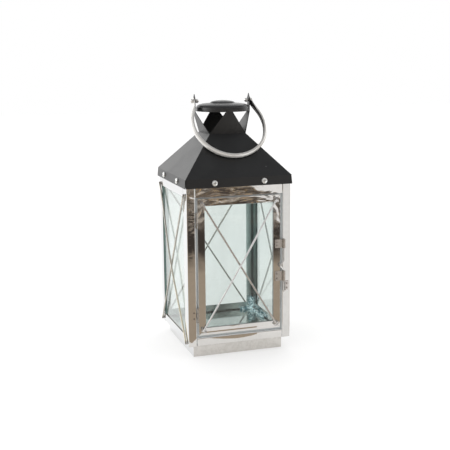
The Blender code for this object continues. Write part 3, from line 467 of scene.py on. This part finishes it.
# %% Heat marks on the wires
STRAW, BURNT = (0.86, 0.80, 0.64), (0.10, 0.085, 0.07)
STRAW_BACK, STRAW_TOP, STRAW_FADE = -0.020, 0.150, 0.025
for material, straw in ((SIDE_WIRE, True), (WIRE, False)):
    tree = material.node_tree
    shader = tree.nodes["Principled BSDF"]
    place = add_node(tree, "ShaderNodeTexCoord").outputs["Object"]
    tint = shader.inputs["Base Color"].links[0].from_socket
    if straw:
        low_front = box_mask(tree, place, (None, None, None), (None, STRAW_BACK, STRAW_TOP), STRAW_FADE)
        tint = blend_colours(tree, low_front, tint, STRAW)
    height = axes_of(tree, place)[2]
    ends = maths(tree, "MAXIMUM", spread(tree, height, 0.2385, 0.2425), spread(tree, height, 0.0275, 0.0235))
    tint = blend_colours(tree, maths(tree, "MULTIPLY", ends, 0.75), tint, BURNT)
    tree.links.new(tint, shader.inputs["Base Color"])
print("heat marks on", SIDE_WIRE.name, WIRE.name)

# %% [markdown]
# ## The handle
# The handle is strip rolled to a channel, with its open side towards the middle of the ring. Light doesn't
# reach the channel's floor, so its shade is painted into the colour. We compare each face's normal with the
# spoke from the ring's middle: faces that look outwards keep the bright colour, faces turned partway get a
# painted half shade, and faces that look inwards get a painted shade that is nearly black.

# %% Material: handle
RING_MIDDLE = (0.0026, -0.0268, 0.3406)
ROLLED_EDGE_SHADE, CHANNEL_SHADE = (0.50, 0.485, 0.46), (0.035, 0.035, 0.037)
HANDLE = satin_steel("handle_steel", (0.80, 0.785, 0.755), 0.28, grain=0.0000006, metal=0.55)
tree = HANDLE.node_tree
shader = tree.nodes["Principled BSDF"]
place = add_node(tree, "ShaderNodeTexCoord").outputs["Object"]
from_middle = [(0, place), (1, RING_MIDDLE)]
spoke = add_node(tree, "ShaderNodeVectorMath", from_middle, operation="SUBTRACT").outputs[0]
spoke = add_node(tree, "ShaderNodeVectorMath", [(0, spoke)], operation="NORMALIZE").outputs[0]
spoke_links = [(0, spoke), (1, object_normal(tree))]
outwards = add_node(tree, "ShaderNodeVectorMath", spoke_links, operation="DOT_PRODUCT").outputs["Value"]
bright = shader.inputs["Base Color"].links[0].from_socket
# painted shade: partway faces get a half shade, inward faces a near-black shade in the channel
rolled_shade = blend_colours(tree, spread(tree, outwards, 0.55, 0.0), bright, ROLLED_EDGE_SHADE)
channel_shade = blend_colours(tree, spread(tree, outwards, -0.15, -0.45), rolled_shade, CHANNEL_SHADE)
tree.links.new(channel_shade, shader.inputs["Base Color"])
dress("handle_bail", HANDLE)
print("made", HANDLE.name)

# %% [markdown]
# ## Bright screws
# The roof's screws are nickel-plated: brighter and whiter than the frame. The cross in each head, where the
# surface bends inwards, gets a painted shade: darker, and rougher too.

# %% Material: bright screw
SCREW, tree, shader, place = new_material("bright_screw")
point = add_node(tree, "ShaderNodeNewGeometry").outputs["Pointiness"]
# painted shade in the cross recess of each head, where the surface bends inwards
recess_shade = spread(tree, point, 0.50, 0.42)
marks = use_group(tree, handled_group, Place=place, Film_Size=180.0)
tint = blend_colours(tree, marks["Film"], (0.86, 0.86, 0.84), (0.74, 0.74, 0.72))
tree.links.new(blend_colours(tree, recess_shade, tint, (0.10, 0.09, 0.08)), shader.inputs["Base Color"])
tree.links.new(maths(tree, "MULTIPLY_ADD", recess_shade, 0.4, 0.16), shader.inputs["Roughness"])
shader.inputs["Metallic"].default_value = 0.6
for node in NODES:
    if node.startswith("roof_screw"):
        dress(node, SCREW)
print("made", SCREW.name)

# %% [markdown]
# ## Black powder coat
# The roof and cap are sprayed with black powder and baked. Powder flows into a fine orange peel, which we
# make with two sizes of bump. Along the folds the coat is thinner and shows slightly lighter.

# %% Material: black powder coat
BLACK, tree, shader, place = new_material("black_enamel")
worn = use_group(tree, worn_group, Place=place, Low=0.53, High=0.66)["Worn"]
marks = use_group(tree, handled_group, Place=place, Film_Size=18.0)
specks = use_group(tree, dust_group, Place=place)["Specks"]
tint = blend_colours(tree, marks["Film"], (0.0095, 0.0097, 0.010), (0.014, 0.0143, 0.0148))
tint = blend_colours(tree, maths(tree, "MULTIPLY", worn, 0.5), tint, (0.06, 0.058, 0.055))
tint = blend_colours(tree, maths(tree, "MULTIPLY", specks, 0.6), tint, (0.35, 0.35, 0.35))
tree.links.new(tint, shader.inputs["Base Color"])
tree.links.new(maths(tree, "MULTIPLY_ADD", marks["Film"], 0.08, 0.33), shader.inputs["Roughness"])
fine_peel, wide_peel = (noise_field(tree, place, scale, 2.0) for scale in (1100.0, 320.0))
add_bump(tree, shader, maths(tree, "MULTIPLY_ADD", fine_peel, 0.3, wide_peel), 0.000045)
for node in ("roof_hood", "roof_cap"):
    dress(node, BLACK)
print("made", BLACK.name)

# %% [markdown]
# ## Glass
# Window glass has a slight green cast, which is strongest in its cut edges. The tint here is set by how near
# a point is to the pane's edge. Metallic and transmission are plain numbers, so the glass stays glass
# everywhere.


# %% Material: glass
def pane_glass(name, node, across):
    """Glass for one pane. across is the horizontal axis that the pane lies along: 0 for X, 1 for Y."""
    low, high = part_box(node)
    made, tree, shader, place = new_material(name)
    axes = axes_of(tree, place)
    from_middle = maths(tree, "ABSOLUTE", maths(tree, "SUBTRACT", axes[2], (high.z + low.z) / 2))
    to_ends = maths(tree, "SUBTRACT", (high.z - low.z) / 2, from_middle)
    half_width = (high[across] - low[across]) / 2
    to_sides = maths(tree, "SUBTRACT", half_width, maths(tree, "ABSOLUTE", axes[across]))
    rim = spread(tree, maths(tree, "MINIMUM", to_sides, to_ends), 0.004, 0.0002)
    streaks = noise_field(tree, stretched(tree, place, (3, 3, 0.7)), 6.0, 3.0, 0.55, 0.4)
    share = spread(tree, streaks, 0.35, 0.7)
    clear = blend_colours(tree, share, (0.795, 0.84, 0.828), (0.81, 0.85, 0.838))
    tree.links.new(blend_colours(tree, rim, clear, (0.30, 0.62, 0.56)), shader.inputs["Base Color"])
    smear = noise_field(tree, stretched(tree, place, (1.0, 1.0, 0.35)), 34.0, 4.0, 0.6, 0.8)
    tree.links.new(spread(tree, smear, 0.45, 0.8, 0.0, 0.02), shader.inputs["Roughness"])
    add_bump(tree, shader, noise_field(tree, stretched(tree, place, (6, 6, 3)), 2.0, 1.0), 0.0002)
    shader.inputs["Metallic"].default_value = 0.0
    shader.inputs["Transmission Weight"].default_value = 1.0
    shader.inputs["IOR"].default_value = 1.5
    return made


PANES = (("glass_left", 1), ("glass_right", 1), ("glass_back", 0), ("door_glass", 0))
for node, across in PANES:
    dress(node, pane_glass("clear_" + node, node, across))
print("glass panes dressed", len(PANES))

# %% [markdown]
# ## Smooth shading and soft edges
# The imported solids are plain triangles. A geometry node modifier welds them and shades every bend under 32
# degrees smooth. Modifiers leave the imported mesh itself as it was.

# %% Node group: weld and shade
SMOOTH_BELOW = math.radians(32)
shading = bpy.data.node_groups.new("weld_and_shade", "GeometryNodeTree")
for way in ("INPUT", "OUTPUT"):
    shading.interface.new_socket("Geometry", in_out=way, socket_type="NodeSocketGeometry")
source = shading.nodes.new("NodeGroupInput").outputs[0]
weld = add_node(shading, "GeometryNodeMergeByDistance", [("Geometry", source), ("Distance", 1e-6)]).outputs[0]
old_shading = [("Geometry", weld), ("Name", "custom_normal")]
plain = add_node(shading, "GeometryNodeRemoveAttribute", old_shading).outputs[0]
faces = add_node(
    shading, "GeometryNodeSetShadeSmooth", [("Geometry", plain), ("Shade Smooth", True)], domain="FACE"
).outputs[0]
bend = add_node(shading, "GeometryNodeInputMeshEdgeAngle").outputs[0]
sharper = dict(operation="GREATER_THAN", data_type="FLOAT")
sharp = add_node(shading, "FunctionNodeCompare", [(0, bend), (1, SMOOTH_BELOW)], **sharper).outputs[0]
keep = add_node(shading, "FunctionNodeBooleanMath", [(0, sharp)], operation="NOT").outputs[0]
edges = add_node(
    shading, "GeometryNodeSetShadeSmooth", [("Geometry", faces), ("Shade Smooth", keep)], domain="EDGE"
).outputs[0]
shading.links.new(edges, shading.nodes.new("NodeGroupOutput").inputs[0])
print("node group", shading.name)

# %% [markdown]
# A small Bevel gives the sheet edges the thin bright line that a real fold has. On a mirror, a bevel also
# bends the shading of the flat face beside it, so a Weighted Normal modifier flattens the big faces again.

# %% Modifiers on every node
BEVELLED = {
    "post_": 0.00022, "bottom_rail": 0.0002, "top_rail": 0.0002, "door_stile": 0.00025, "door_rail": 0.00025,
    "plinth": 0.0003, "roof_hood": 0.0003, "latch_guide": 0.00012, "latch_keeper": 0.00012,
}
BEVEL_ABOVE = math.radians(30)
for name, piece in NODES.items():
    piece.modifiers.new("weld_and_shade", "NODES").node_group = shading
    width = next((w for start, w in BEVELLED.items() if name.startswith(start)), None)
    if width:
        bevel = piece.modifiers.new("soft_edges", "BEVEL")
        bevel.width = width
        bevel.segments = 2
        bevel.limit_method = "ANGLE"
        bevel.angle_limit = BEVEL_ABOVE
    if width or name.startswith("hinge_"):
        flat = piece.modifiers.new("flat_faces", "WEIGHTED_NORMAL")
        flat.keep_sharp = True
        flat.weight = 100
print("shading modifiers on", len(NODES), "nodes")

# %% [markdown]
# ## Small pieces
# The small things that a maker leaves behind aren't in the frame. Each is a list of points and faces, and
# one helper turns it into a piece that rides on a body. `band_faces` joins rows of points into a closed
# skin, as for a tube.


# %% Helpers for new pieces
def new_piece(name, verts, faces, material, body, smooth=True):
    mesh = bpy.data.meshes.new(name)
    mesh.from_pydata(verts, [], faces)
    bm = bmesh.new()
    bm.from_mesh(mesh)
    bmesh.ops.recalc_face_normals(bm, faces=bm.faces)
    bm.to_mesh(mesh)
    bm.free()
    for face in mesh.polygons:
        face.use_smooth = smooth
    mesh.materials.append(material)
    piece = bpy.data.objects.new(name, mesh)
    bpy.context.scene.collection.objects.link(piece)
    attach(piece, body)
    return piece


def band_faces(rows, steps):
    """Faces of a closed skin: bands between rows of points that each go once round, and a lid on each end."""
    faces = []
    for row in range(rows - 1):
        for k in range(steps):
            a, b = row * steps + k, row * steps + (k + 1) % steps
            faces.append((a, b, b + steps, a + steps))
    faces.append(tuple(range(steps))[::-1])
    faces.append(tuple(range((rows - 1) * steps, rows * steps)))
    return faces


print("piece helpers ready")

# %% [markdown]
# ## Door stop
# Behind the gap around the door lies a rebate that the door shuts against, a frame of thin folded strip. Its
# dull, barely metallic grey darkens the gap, so it is painted shade more than a part. We sweep one profile
# around the doorway: a flat with a small lip, mitred at the corners, so it's one closed piece that belongs to
# the lantern's body.

# %% Door stop
# painted shade: a dull grey with little metal, so the gap round the door reads dark
STOP_SHADE = satin_steel("stop_painted_shade", (0.70, 0.735, 0.745), 0.30, metal=0.35)
STOP_DEPTH, STOP_SHEET, STOP_LIP = 0.0050, 0.0006, 0.0008
STOP_WIDTH, STOP_OVERLAP, STOP_HALF = 0.0060, 0.0004, 0.0668
stop_front = FRONT_FACE + STOP_DEPTH
STOP_PROFILE = [
    (0, stop_front), (STOP_WIDTH, stop_front), (STOP_WIDTH, stop_front + STOP_SHEET * 2),
    (STOP_WIDTH - STOP_LIP, stop_front + STOP_SHEET * 2), (STOP_WIDTH - STOP_LIP, stop_front + STOP_SHEET),
    (0, stop_front + STOP_SHEET),
]


def swept_frame(profile, half_width, low, high):
    """Sweeps a profile of (inset, y) points round an upright rectangle and returns its vertices and faces."""
    count = len(profile)
    verts, faces = [], []
    for side, level, way in ((-1, low, 1), (1, low, 1), (1, high, -1), (-1, high, -1)):
        verts += [(side * (half_width - inset), y, level + way * inset) for inset, y in profile]
    for corner in range(4):
        here, there = corner * count, (corner + 1) % 4 * count
        for k in range(count):
            after = (k + 1) % count
            faces.append((here + k, here + after, there + after, there + k))
    return verts, faces


doorway_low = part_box("bottom_rail_front")[1].z - STOP_OVERLAP
doorway_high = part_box("top_rail_front")[0].z + STOP_OVERLAP
verts, faces = swept_frame(STOP_PROFILE, STOP_HALF, doorway_low, doorway_high)
new_piece("door_stop", verts, faces, STOP_SHADE, "lantern", smooth=False)
print("door stop from", round(doorway_low, 4), "to", round(doorway_high, 4))

# %% [markdown]
# ## Solder at the wire ends
# Each guard wire is tacked to the frame with a drop of solder. Solder is bright where it flowed and dull
# grey where flux burnt on it, so one noise drives both the colour and the roughness.

# %% Material: solder
SOLDER, tree, shader, place = new_material("solder")
grey = noise_field(tree, place, 420.0, 3.0, 0.6)
tint = blend_colours(tree, spread(tree, grey, 0.35, 0.6), (0.16, 0.15, 0.14), (0.80, 0.79, 0.77))
tree.links.new(tint, shader.inputs["Base Color"])
tree.links.new(spread(tree, grey, 0.3, 0.7, 0.38, 0.14), shader.inputs["Roughness"])
shader.inputs["Metallic"].default_value = 1.0
add_bump(tree, shader, noise_field(tree, place, 900.0, 2.0), 0.00008)
print("made", SOLDER.name)

# %% [markdown]
# A drop is a flattened blob with a spread foot. We could sculpt one and copy it. Here we start from a finely
# divided ball, flatten it against the sheet and push its skin in and out with noise, with another seed for
# every drop, so no two are alike. Each door wire end has a main drop and two tacks; the ends on the other
# sides have one tack.


# %% Solder drops
def solder_drop(name, at, normal, size, seed, body):
    """A drop at a point. size is its half width, its half depth and its half height, in metres."""
    wide, deep, tall = size
    side = Vector((0, 0, 1)).cross(normal)
    offset = Vector((seed * 7.3, seed * 3.1, seed))
    bm = bmesh.new()
    bmesh.ops.create_icosphere(bm, subdivisions=3, radius=1.0)
    for vertex in bm.verts:
        way = vertex.co.copy()
        lump = 1.0 + 0.34 * noise.noise(way * 1.6 + offset) + 0.10 * noise.noise(way * 4.5)
        foot = 1.0 + 0.35 * max(0.0, -way.y)
        flat = side * way.x * wide * lump * foot + Vector((0, 0, way.z * tall * lump * foot))
        vertex.co = at + flat + normal * way.y * deep * lump
    verts = [vertex.co.copy() for vertex in bm.verts]
    faces = [[vertex.index for vertex in face.verts] for face in bm.faces]
    bm.free()
    new_piece(name, verts, faces, SOLDER, body)


FRONT, LEFT, RIGHT, REAR = (Vector(way) for way in ((0, -1, 0), (-1, 0, 0), (1, 0, 0), (0, 1, 0)))
DROP, TACK = (0.0033, 0.0014, 0.0029), (0.0019, 0.0011, 0.0019)
RIGHT_DROP = tuple(c * 1.3 for c in DROP)
DROP_PROUD, TACK_PROUD, FROM_END = 0.0006, 0.0004, 0.0018
low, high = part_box("wire_door_over")
lowest, highest = low.z + FROM_END, high.z - FROM_END
ends = [(x, z) for x in (low.x + FROM_END, high.x - FROM_END) for z in (lowest, highest)]
for k, (x, z) in enumerate(ends):
    drop_y, tack_y = FRONT_FACE - DROP_PROUD, FRONT_FACE - TACK_PROUD
    main, above, below = (x, drop_y, z), (x - 0.0024, tack_y, z + 0.004), (x + 0.0030, tack_y, z - 0.0022)
    size = RIGHT_DROP if x > 0 else DROP
    solder_drop(f"solder_door_{k}", Vector(main), FRONT, size, 1.0 + k, "door")
    solder_drop(f"solder_door_small_{k}", Vector(above), FRONT, TACK, 11.0 + k, "door")
    solder_drop(f"solder_door_low_{k}", Vector(below), FRONT, TACK, 31.0 + k, "door")
side_low, side_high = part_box("wire_left_over")
for label, normal, across in (("left", LEFT, 1), ("right", RIGHT, 1), ("back", REAR, 0)):
    for k in range(4):
        spot = normal * (abs(FRONT_FACE) + DROP_PROUD)
        spot[across] = (-1 if k % 2 else 1) * (side_high.y - 0.0016)
        spot.z = side_low.z + 0.002 if k < 2 else side_high.z - 0.002
        solder_drop(f"solder_{label}_{k}", spot, normal, TACK, 21.0 + k + 4 * across, "lantern")
print("solder drops at", [(round(x, 4), round(z, 4)) for x, z in ends])

# %% [markdown]
# ## Spot welds
# A spot weld leaves a shallow dimple with a faintly raised rim, browned by heat. Pairs of them hold the
# hinge leaves, the latch straps and the keeper. Each is a small profile of (radius, height) turned round the
# sheet's normal.


# %% Spot welds
def lathe(name, at, normal, profile, material, body, steps=20):
    side = normal.orthogonal().normalized()
    other = normal.cross(side)
    verts = []
    for radius, height in profile:
        for k in range(steps):
            turn = 2 * math.pi * k / steps
            spoke = side * math.cos(turn) + other * math.sin(turn)
            verts.append(at + normal * height + spoke * max(radius, 1e-6))
    new_piece(name, verts, band_faces(len(profile), steps), material, body)


WELD, tree, shader, place = new_material("weld_mark")
heat = noise_field(tree, place, 800.0, 2.0)
tree.links.new(blend_colours(tree, heat, (0.16, 0.14, 0.13), (0.36, 0.32, 0.29)), shader.inputs["Base Color"])
tree.links.new(spread(tree, heat, 0.3, 0.7, 0.2, 0.4), shader.inputs["Roughness"])
shader.inputs["Metallic"].default_value = 1.0
WELD_PROFILE = [
    (0.0, 0.00002), (0.0006, 0.00003), (0.0009, 0.00012), (0.0011, 0.00016), (0.0013, 0.00008),
    (0.00135, -0.0002),
]
HINGE_WELD_X, KEEPER_WELD_X, STRAP_WELD_X = -0.0713, 0.0742, 0.0580
strap_face = FRONT_FACE - 0.0011
marks_at = []
for leaf in ("hinge_lower_post_leaf", "hinge_upper_post_leaf"):
    low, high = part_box(leaf)
    for rise in (-0.0045, 0.0045):
        marks_at.append(((HINGE_WELD_X, FRONT_FACE, (low.z + high.z) / 2 + rise), "lantern"))
low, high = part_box("latch_keeper")
marks_at += [((KEEPER_WELD_X, strap_face, z), "lantern") for z in (low.z + 0.0035, high.z - 0.0035)]
for strap in ("latch_guide_lower", "latch_guide_upper"):
    low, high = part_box(strap)
    marks_at += [((STRAP_WELD_X, strap_face, z), "door") for z in (low.z + 0.004, high.z - 0.004)]
for k, (at, body) in enumerate(marks_at):
    lathe(f"spot_weld_{k}", Vector(at), FRONT, WELD_PROFILE, WELD, body)
print("spot welds", len(marks_at))

# %% [markdown]
# ## Sealant in the back corner
# The panes are held by clear sealant, and in the back right corner there is more of it. Its bright cyan-white
# sparkle there is painted: in a render the panes keep most soft light out of that corner, so the milky parts
# get a faint glow of their own, painted light and reflection that stands in for it.

# %% Material: sealant
SEALANT, tree, shader, place = new_material("sealant")
cloud = noise_field(tree, place, 260.0, 3.0, 0.6)
milk_and_glow = blend_colours(tree, spread(tree, cloud, 0.46, 0.56), (0.07, 0.20, 0.23), (0.80, 0.97, 1.0))
tree.links.new(milk_and_glow, shader.inputs["Base Color"])
# painted glow: the milky colour also shines as emission, painted light and reflection in the corner
tree.links.new(milk_and_glow, shader.inputs["Emission Color"])
shader.inputs["Emission Strength"].default_value = 0.42
shader.inputs["Roughness"].default_value = 0.08
add_bump(tree, shader, noise_field(tree, place, 500.0, 2.0), 0.0008)
print("made", SEALANT.name)

# %% [markdown]
# A bead of sealant is squeezed from a nozzle, so it is a tube whose width wanders. One bead runs up the
# corner and one along each pane. A curve with a bevel would keep one width; rings of points let each ring
# have its own.


# %% Sealant beads
def bead(name, path, radius, wander, seed, steps=10, rings_each=8):
    """A tube along a path of points. Its radius wanders by a share of itself and tapers at both ends."""
    dense = [a.lerp(b, k / rings_each) for a, b in zip(path, path[1:]) for k in range(rings_each)]
    dense.append(path[-1])
    last = len(dense) - 1
    verts = []
    for k, at in enumerate(dense):
        ahead = (dense[min(k + 1, last)] - dense[max(k - 1, 0)]).normalized()
        side = ahead.orthogonal().normalized()
        other = ahead.cross(side)
        taper = min(1.0, 0.35 + 0.4 * min(k, last - k))
        for step in range(steps):
            turn = 2 * math.pi * step / steps
            out = side * math.cos(turn) + other * math.sin(turn)
            grow = 1.0 + wander * noise.noise(Vector((k * 0.45 + seed, turn, seed)))
            verts.append(at + out * radius * taper * grow)
    new_piece(name, verts, band_faces(len(dense), steps), SEALANT, "lantern")


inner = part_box("glass_right")[0].x - 0.0044
corner = Vector((inner, inner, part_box("floor_plate")[1].z + 0.0020))
BEADS = (
    ("sealant_up", ((0, 0, 0.012), (0, 0, 0.020)), 0.0038, 1.5, 3.0),
    ("sealant_back", ((-0.010, 0, 0), (-0.020, 0, 0)), 0.0022, 1.6, 5.0),
    ("sealant_right", ((0, -0.030, 0), (0, -0.060, 0)), 0.0022, 1.6, 8.0),
)
for name, steps_away, radius, wander, seed in BEADS:
    bead(name, [corner] + [corner + Vector(step) for step in steps_away], radius, wander, seed)
print("sealant corner", [round(c, 4) for c in corner])

# %% [markdown]
# ## Dark band behind the side panes
# A dark green strip stands behind the back edge of each side pane, against its post, and shows as a dark
# upright band: it is painted shade, not a part of the lantern. It could be a plain bar. It is drawn with a
# gasket's section, a flat web with a rounded bulb along its free edge, extruded upwards.

# %% Dark strips of painted shade
# painted shade: a dark green-grey colour for the band behind the side panes
BAND_SHADE, tree, shader, place = new_material("gasket_rubber")
cloudy = noise_field(tree, stretched(tree, place, (60, 60, 4)), 1.0, 3.0)
tint = blend_colours(tree, cloudy, (0.085, 0.140, 0.125), (0.125, 0.190, 0.172))
tree.links.new(tint, shader.inputs["Base Color"])
shader.inputs["Roughness"].default_value = 0.6
shader.inputs["Specular IOR Level"].default_value = 0.2
add_bump(tree, shader, noise_field(tree, place, 500.0, 2.0), 0.00005)
BAND_THICK, BAND_CLEAR, BULB, BULB_STEPS = 0.0004, 0.00005, 0.0006, 6
WEB_EDGE, BULB_EDGE = 0.0668, 0.0562
strip_low, strip_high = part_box("bottom_rail_left")[1].z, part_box("top_rail_left")[0].z
for side, node in ((-1, "glass_left"), (1, "glass_right")):
    sheet = abs(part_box(node)[0 if side < 0 else 1].x) + BAND_CLEAR
    section = [(sheet, WEB_EDGE), (sheet, BULB_EDGE)]
    for k in range(1, BULB_STEPS + 1):
        turn = math.pi * k / BULB_STEPS
        section.append((sheet + BULB / 2 * (1 - math.cos(turn)), BULB_EDGE - BULB * math.sin(turn)))
    section += [(sheet + BAND_THICK, BULB_EDGE + BAND_THICK), (sheet + BAND_THICK, WEB_EDGE)]
    verts = [(side * x, y, z) for z in (strip_low, strip_high) for x, y in section]
    name = node.replace("glass", "gasket")
    new_piece(name, verts, band_faces(2, len(section)), BAND_SHADE, "lantern", smooth=False)
print("gaskets between", round(strip_low, 4), "and", round(strip_high, 4))

# %% [markdown]
# ## The studio
# The lantern stands on white paper. It glows a little, as paper does under a lamp that is out of view, so
# that the shadow on it stays soft and pale.

# %% Paper floor
floor_mesh = bpy.data.meshes.new("studio_floor")
bm = bmesh.new()
bmesh.ops.create_grid(bm, x_segments=1, y_segments=1, size=6.0)
bm.to_mesh(floor_mesh)
bm.free()
floor = bpy.data.objects.new("studio_floor", floor_mesh)
bpy.context.scene.collection.objects.link(floor)
PAPER, tree, shader, place = new_material("white_paper")
tint = blend_colours(tree, noise_field(tree, place, 9.0), (0.49, 0.49, 0.485), (0.51, 0.51, 0.51))
tree.links.new(tint, shader.inputs["Base Color"])
shader.inputs["Roughness"].default_value = 0.9
shader.inputs["Emission Color"].default_value = (1.0, 1.0, 1.0, 1.0)
shader.inputs["Emission Strength"].default_value = 0.5
floor_mesh.materials.append(PAPER)
print("paper laid")

# %% [markdown]
# Mirror steel shows whatever stands around it, so the room matters more than the lamps: the far wall is
# bright white, the side behind the camera is darker and warmer, and the ceiling is dim. Light Path lets
# reflections see that room, while the lighting and the plain background stay white.

# %% World
NEAR_WALL, FAR_WALL, CEILING = (0.42, 0.38, 0.35), (1.58, 1.58, 1.57), (0.34, 0.345, 0.355)
WHITE = (1, 1, 1, 1)
world = bpy.data.worlds.new("studio")
bpy.context.scene.world = world
world.use_nodes = True
tree = world.node_tree
tree.nodes.clear()
axes = axes_of(tree, add_node(tree, "ShaderNodeTexCoord").outputs["Generated"])
walls = blend_colours(tree, spread(tree, axes[1], -0.35, 0.25), NEAR_WALL, FAR_WALL)
room = blend_colours(tree, spread(tree, axes[2], 0.30, 0.62), walls, CEILING)
path = add_node(tree, "ShaderNodeLightPath").outputs
straight = maths(tree, "MAXIMUM", path["Is Camera Ray"], path["Is Transmission Ray"])
mirrored, scattered, plain = (
    add_node(tree, "ShaderNodeBackground", [(0, colour), (1, strength)]).outputs[0]
    for colour, strength in ((room, 1.0), (WHITE, 1.05), (WHITE, 1.0))
)
light_links = [(0, path["Is Diffuse Ray"]), (1, mirrored), (2, scattered)]
light = add_node(tree, "ShaderNodeMixShader", light_links).outputs[0]
mixed = add_node(tree, "ShaderNodeMixShader", [(0, straight), (1, light), (2, plain)]).outputs[0]
tree.links.new(mixed, add_node(tree, "ShaderNodeOutputWorld").inputs[0])
bpy.context.scene.view_settings.view_transform = "Standard"
print("world ready")

# %% [markdown]
# The lights are big soft boxes. One on the left whitens the side of the frame, one overhead lights the roof
# and floor.


# %% Lights
def soft_box(name, at, aim, size, power):
    data = bpy.data.lights.new(name, "AREA")
    data.shape = "RECTANGLE"
    data.size, data.size_y = size, size
    data.energy = power
    lamp = bpy.data.objects.new(name, data)
    bpy.context.scene.collection.objects.link(lamp)
    turn = (Vector(at) - Vector(aim)).to_track_quat("Z", "Y").to_matrix().to_4x4()
    lamp.matrix_world = Matrix.Translation(at) @ turn


soft_box("left_box", (-1.5, 0.3, 0.9), (0, 0, 0.15), 1.0, 6.0)
soft_box("top_box", (0.4, 0.9, 1.9), (0, 0, 0.1), 1.4, 5.0)
print("soft boxes", 2)

# %% [markdown]
# The room's floor in front of the paper is brown boards, with the dark feet of stands on it, and beyond them
# a dark doorway and patches of cream and golden light. Only shiny surfaces show it, so it is a card that
# reflections can see and the camera can't. Its pattern is set by how far away from the lantern a point lies.

# %% Material: boards
DARK, CREAM, GOLD, SHADED = (0.060, 0.050, 0.044), (0.90, 0.84, 0.75), (0.95, 0.62, 0.28), (0.24, 0.20, 0.165)
BOARDS = bpy.data.materials.new("boards")
BOARDS.use_nodes = True
tree = BOARDS.node_tree
tree.nodes.clear()
place = add_node(tree, "ShaderNodeTexCoord").outputs["Object"]
axes = axes_of(tree, place)
away = maths(tree, "MULTIPLY", axes[1], -1.0)
plank = noise_field(tree, stretched(tree, place, (2, 9, 1)), 2.0, 4.0)
brown = blend_colours(tree, plank, (0.47, 0.395, 0.31), (0.41, 0.34, 0.265))
brown = blend_colours(tree, spread(tree, away, 0.75, 1.1), brown, SHADED)
blots = noise_field(tree, stretched(tree, place, (1.0, 0.6, 1), (0.3, 0.0, 0.0)), 5.0, 2.5, 0.55, 1.4)
feet = maths(tree, "MULTIPLY", spread(tree, away, 0.58, 0.74), spread(tree, away, 1.15, 0.95))
feet = maths(tree, "MULTIPLY", feet, spread(tree, blots, 0.36, 0.46))
beyond = maths(tree, "MULTIPLY", spread(tree, away, 0.95, 1.1), spread(tree, blots, 0.47, 0.53))
doorway = maths(tree, "MULTIPLY", spread(tree, away, 1.16, 1.26), spread(tree, away, 1.66, 1.56))
doorway = maths(tree, "MULTIPLY", doorway, spread(tree, blots, 0.30, 0.40))
doorway = maths(tree, "MULTIPLY", doorway, spread(tree, axes[0], 0.33, 0.40, 0.35, 1.0))
far = spread(tree, away, 1.0, 1.2)
cream = maths(tree, "MULTIPLY", spread(tree, noise_field(tree, place, 7.5, 3.0, 0.6, 1.6), 0.53, 0.59), far)
cream = maths(tree, "MULTIPLY", cream, maths(tree, "MULTIPLY_ADD", doorway, -0.85, 1.0))
gold = maths(tree, "MULTIPLY", spread(tree, noise_field(tree, place, 11.0, 2.0, 0.5, 2.0), 0.60, 0.66), far)
gold = maths(tree, "MULTIPLY", gold, maths(tree, "MULTIPLY_ADD", doorway, -0.5, 1.0))
dark = maths(tree, "MAXIMUM", maths(tree, "MAXIMUM", feet, beyond), doorway)
colour = blend_colours(tree, dark, brown, DARK)
colour = blend_colours(tree, cream, colour, CREAM)
colour = blend_colours(tree, gold, colour, GOLD)
glow = add_node(tree, "ShaderNodeEmission", [(0, colour), (1, 1.0)]).outputs[0]
tree.links.new(glow, add_node(tree, "ShaderNodeOutputMaterial").inputs[0])
print("made", BOARDS.name)

# %% [markdown]
# The boards are laid on three sides of the paper. The paper's near edge was cut by hand and curls a little,
# which is why the brown line low on the frame rises and falls. Its right edge runs away from the lantern, so
# the right post mirrors paper where the left post mirrors boards.

# %% Reflected boards
BOARD_HEIGHT = 0.0008
NEAR_EDGE = [
    (-2.2, -0.150), (-0.055, -0.150), (-0.040, -0.160), (-0.028, -0.168), (-0.018, -0.155), (-0.004, -0.146),
    (0.012, -0.1405), (0.028, -0.143), (0.044, -0.150), (0.056, -0.160), (0.064, -0.180), (0.072, -0.205),
    (0.112, -0.205),
]
RIGHT_EDGE = [
    (0.135, -0.2325), (0.178, -0.344), (0.215, -0.43), (0.298, -0.637), (0.44, -0.99), (0.515, -1.2),
    (0.585, -1.4), (0.635, -1.72), (0.70, -2.2), (0.78, -3.6), (-2.2, -3.6),
]
BACK_BOARDS = [(-2.2, -0.158), (-0.02, -0.158), (-0.40, -1.0), (-1.3, -3.6), (-2.2, -3.6)]
SIDE_BOARDS = [(-0.12, -0.158), (2.2, -0.158), (2.2, -3.6), (-0.12, -3.6)]


def lay_boards(name, outline, turn):
    """A card on the floor that only reflections see. turn carries it from the front to another side."""
    mesh = bpy.data.meshes.new(name)
    mesh.from_pydata([(x, y, BOARD_HEIGHT) for x, y in outline], [], [list(range(len(outline)))])
    mesh.materials.append(BOARDS)
    card = bpy.data.objects.new(name, mesh)
    bpy.context.scene.collection.objects.link(card)
    card.rotation_euler.z = turn
    for ray in ("camera", "diffuse", "transmission", "shadow", "volume_scatter"):
        setattr(card, "visible_" + ray, False)


lay_boards("boards_front", NEAR_EDGE + RIGHT_EDGE, 0.0)
lay_boards("boards_back", BACK_BOARDS, math.pi)
lay_boards("boards_right", SIDE_BOARDS, math.pi / 2)
print("boards laid", 3)
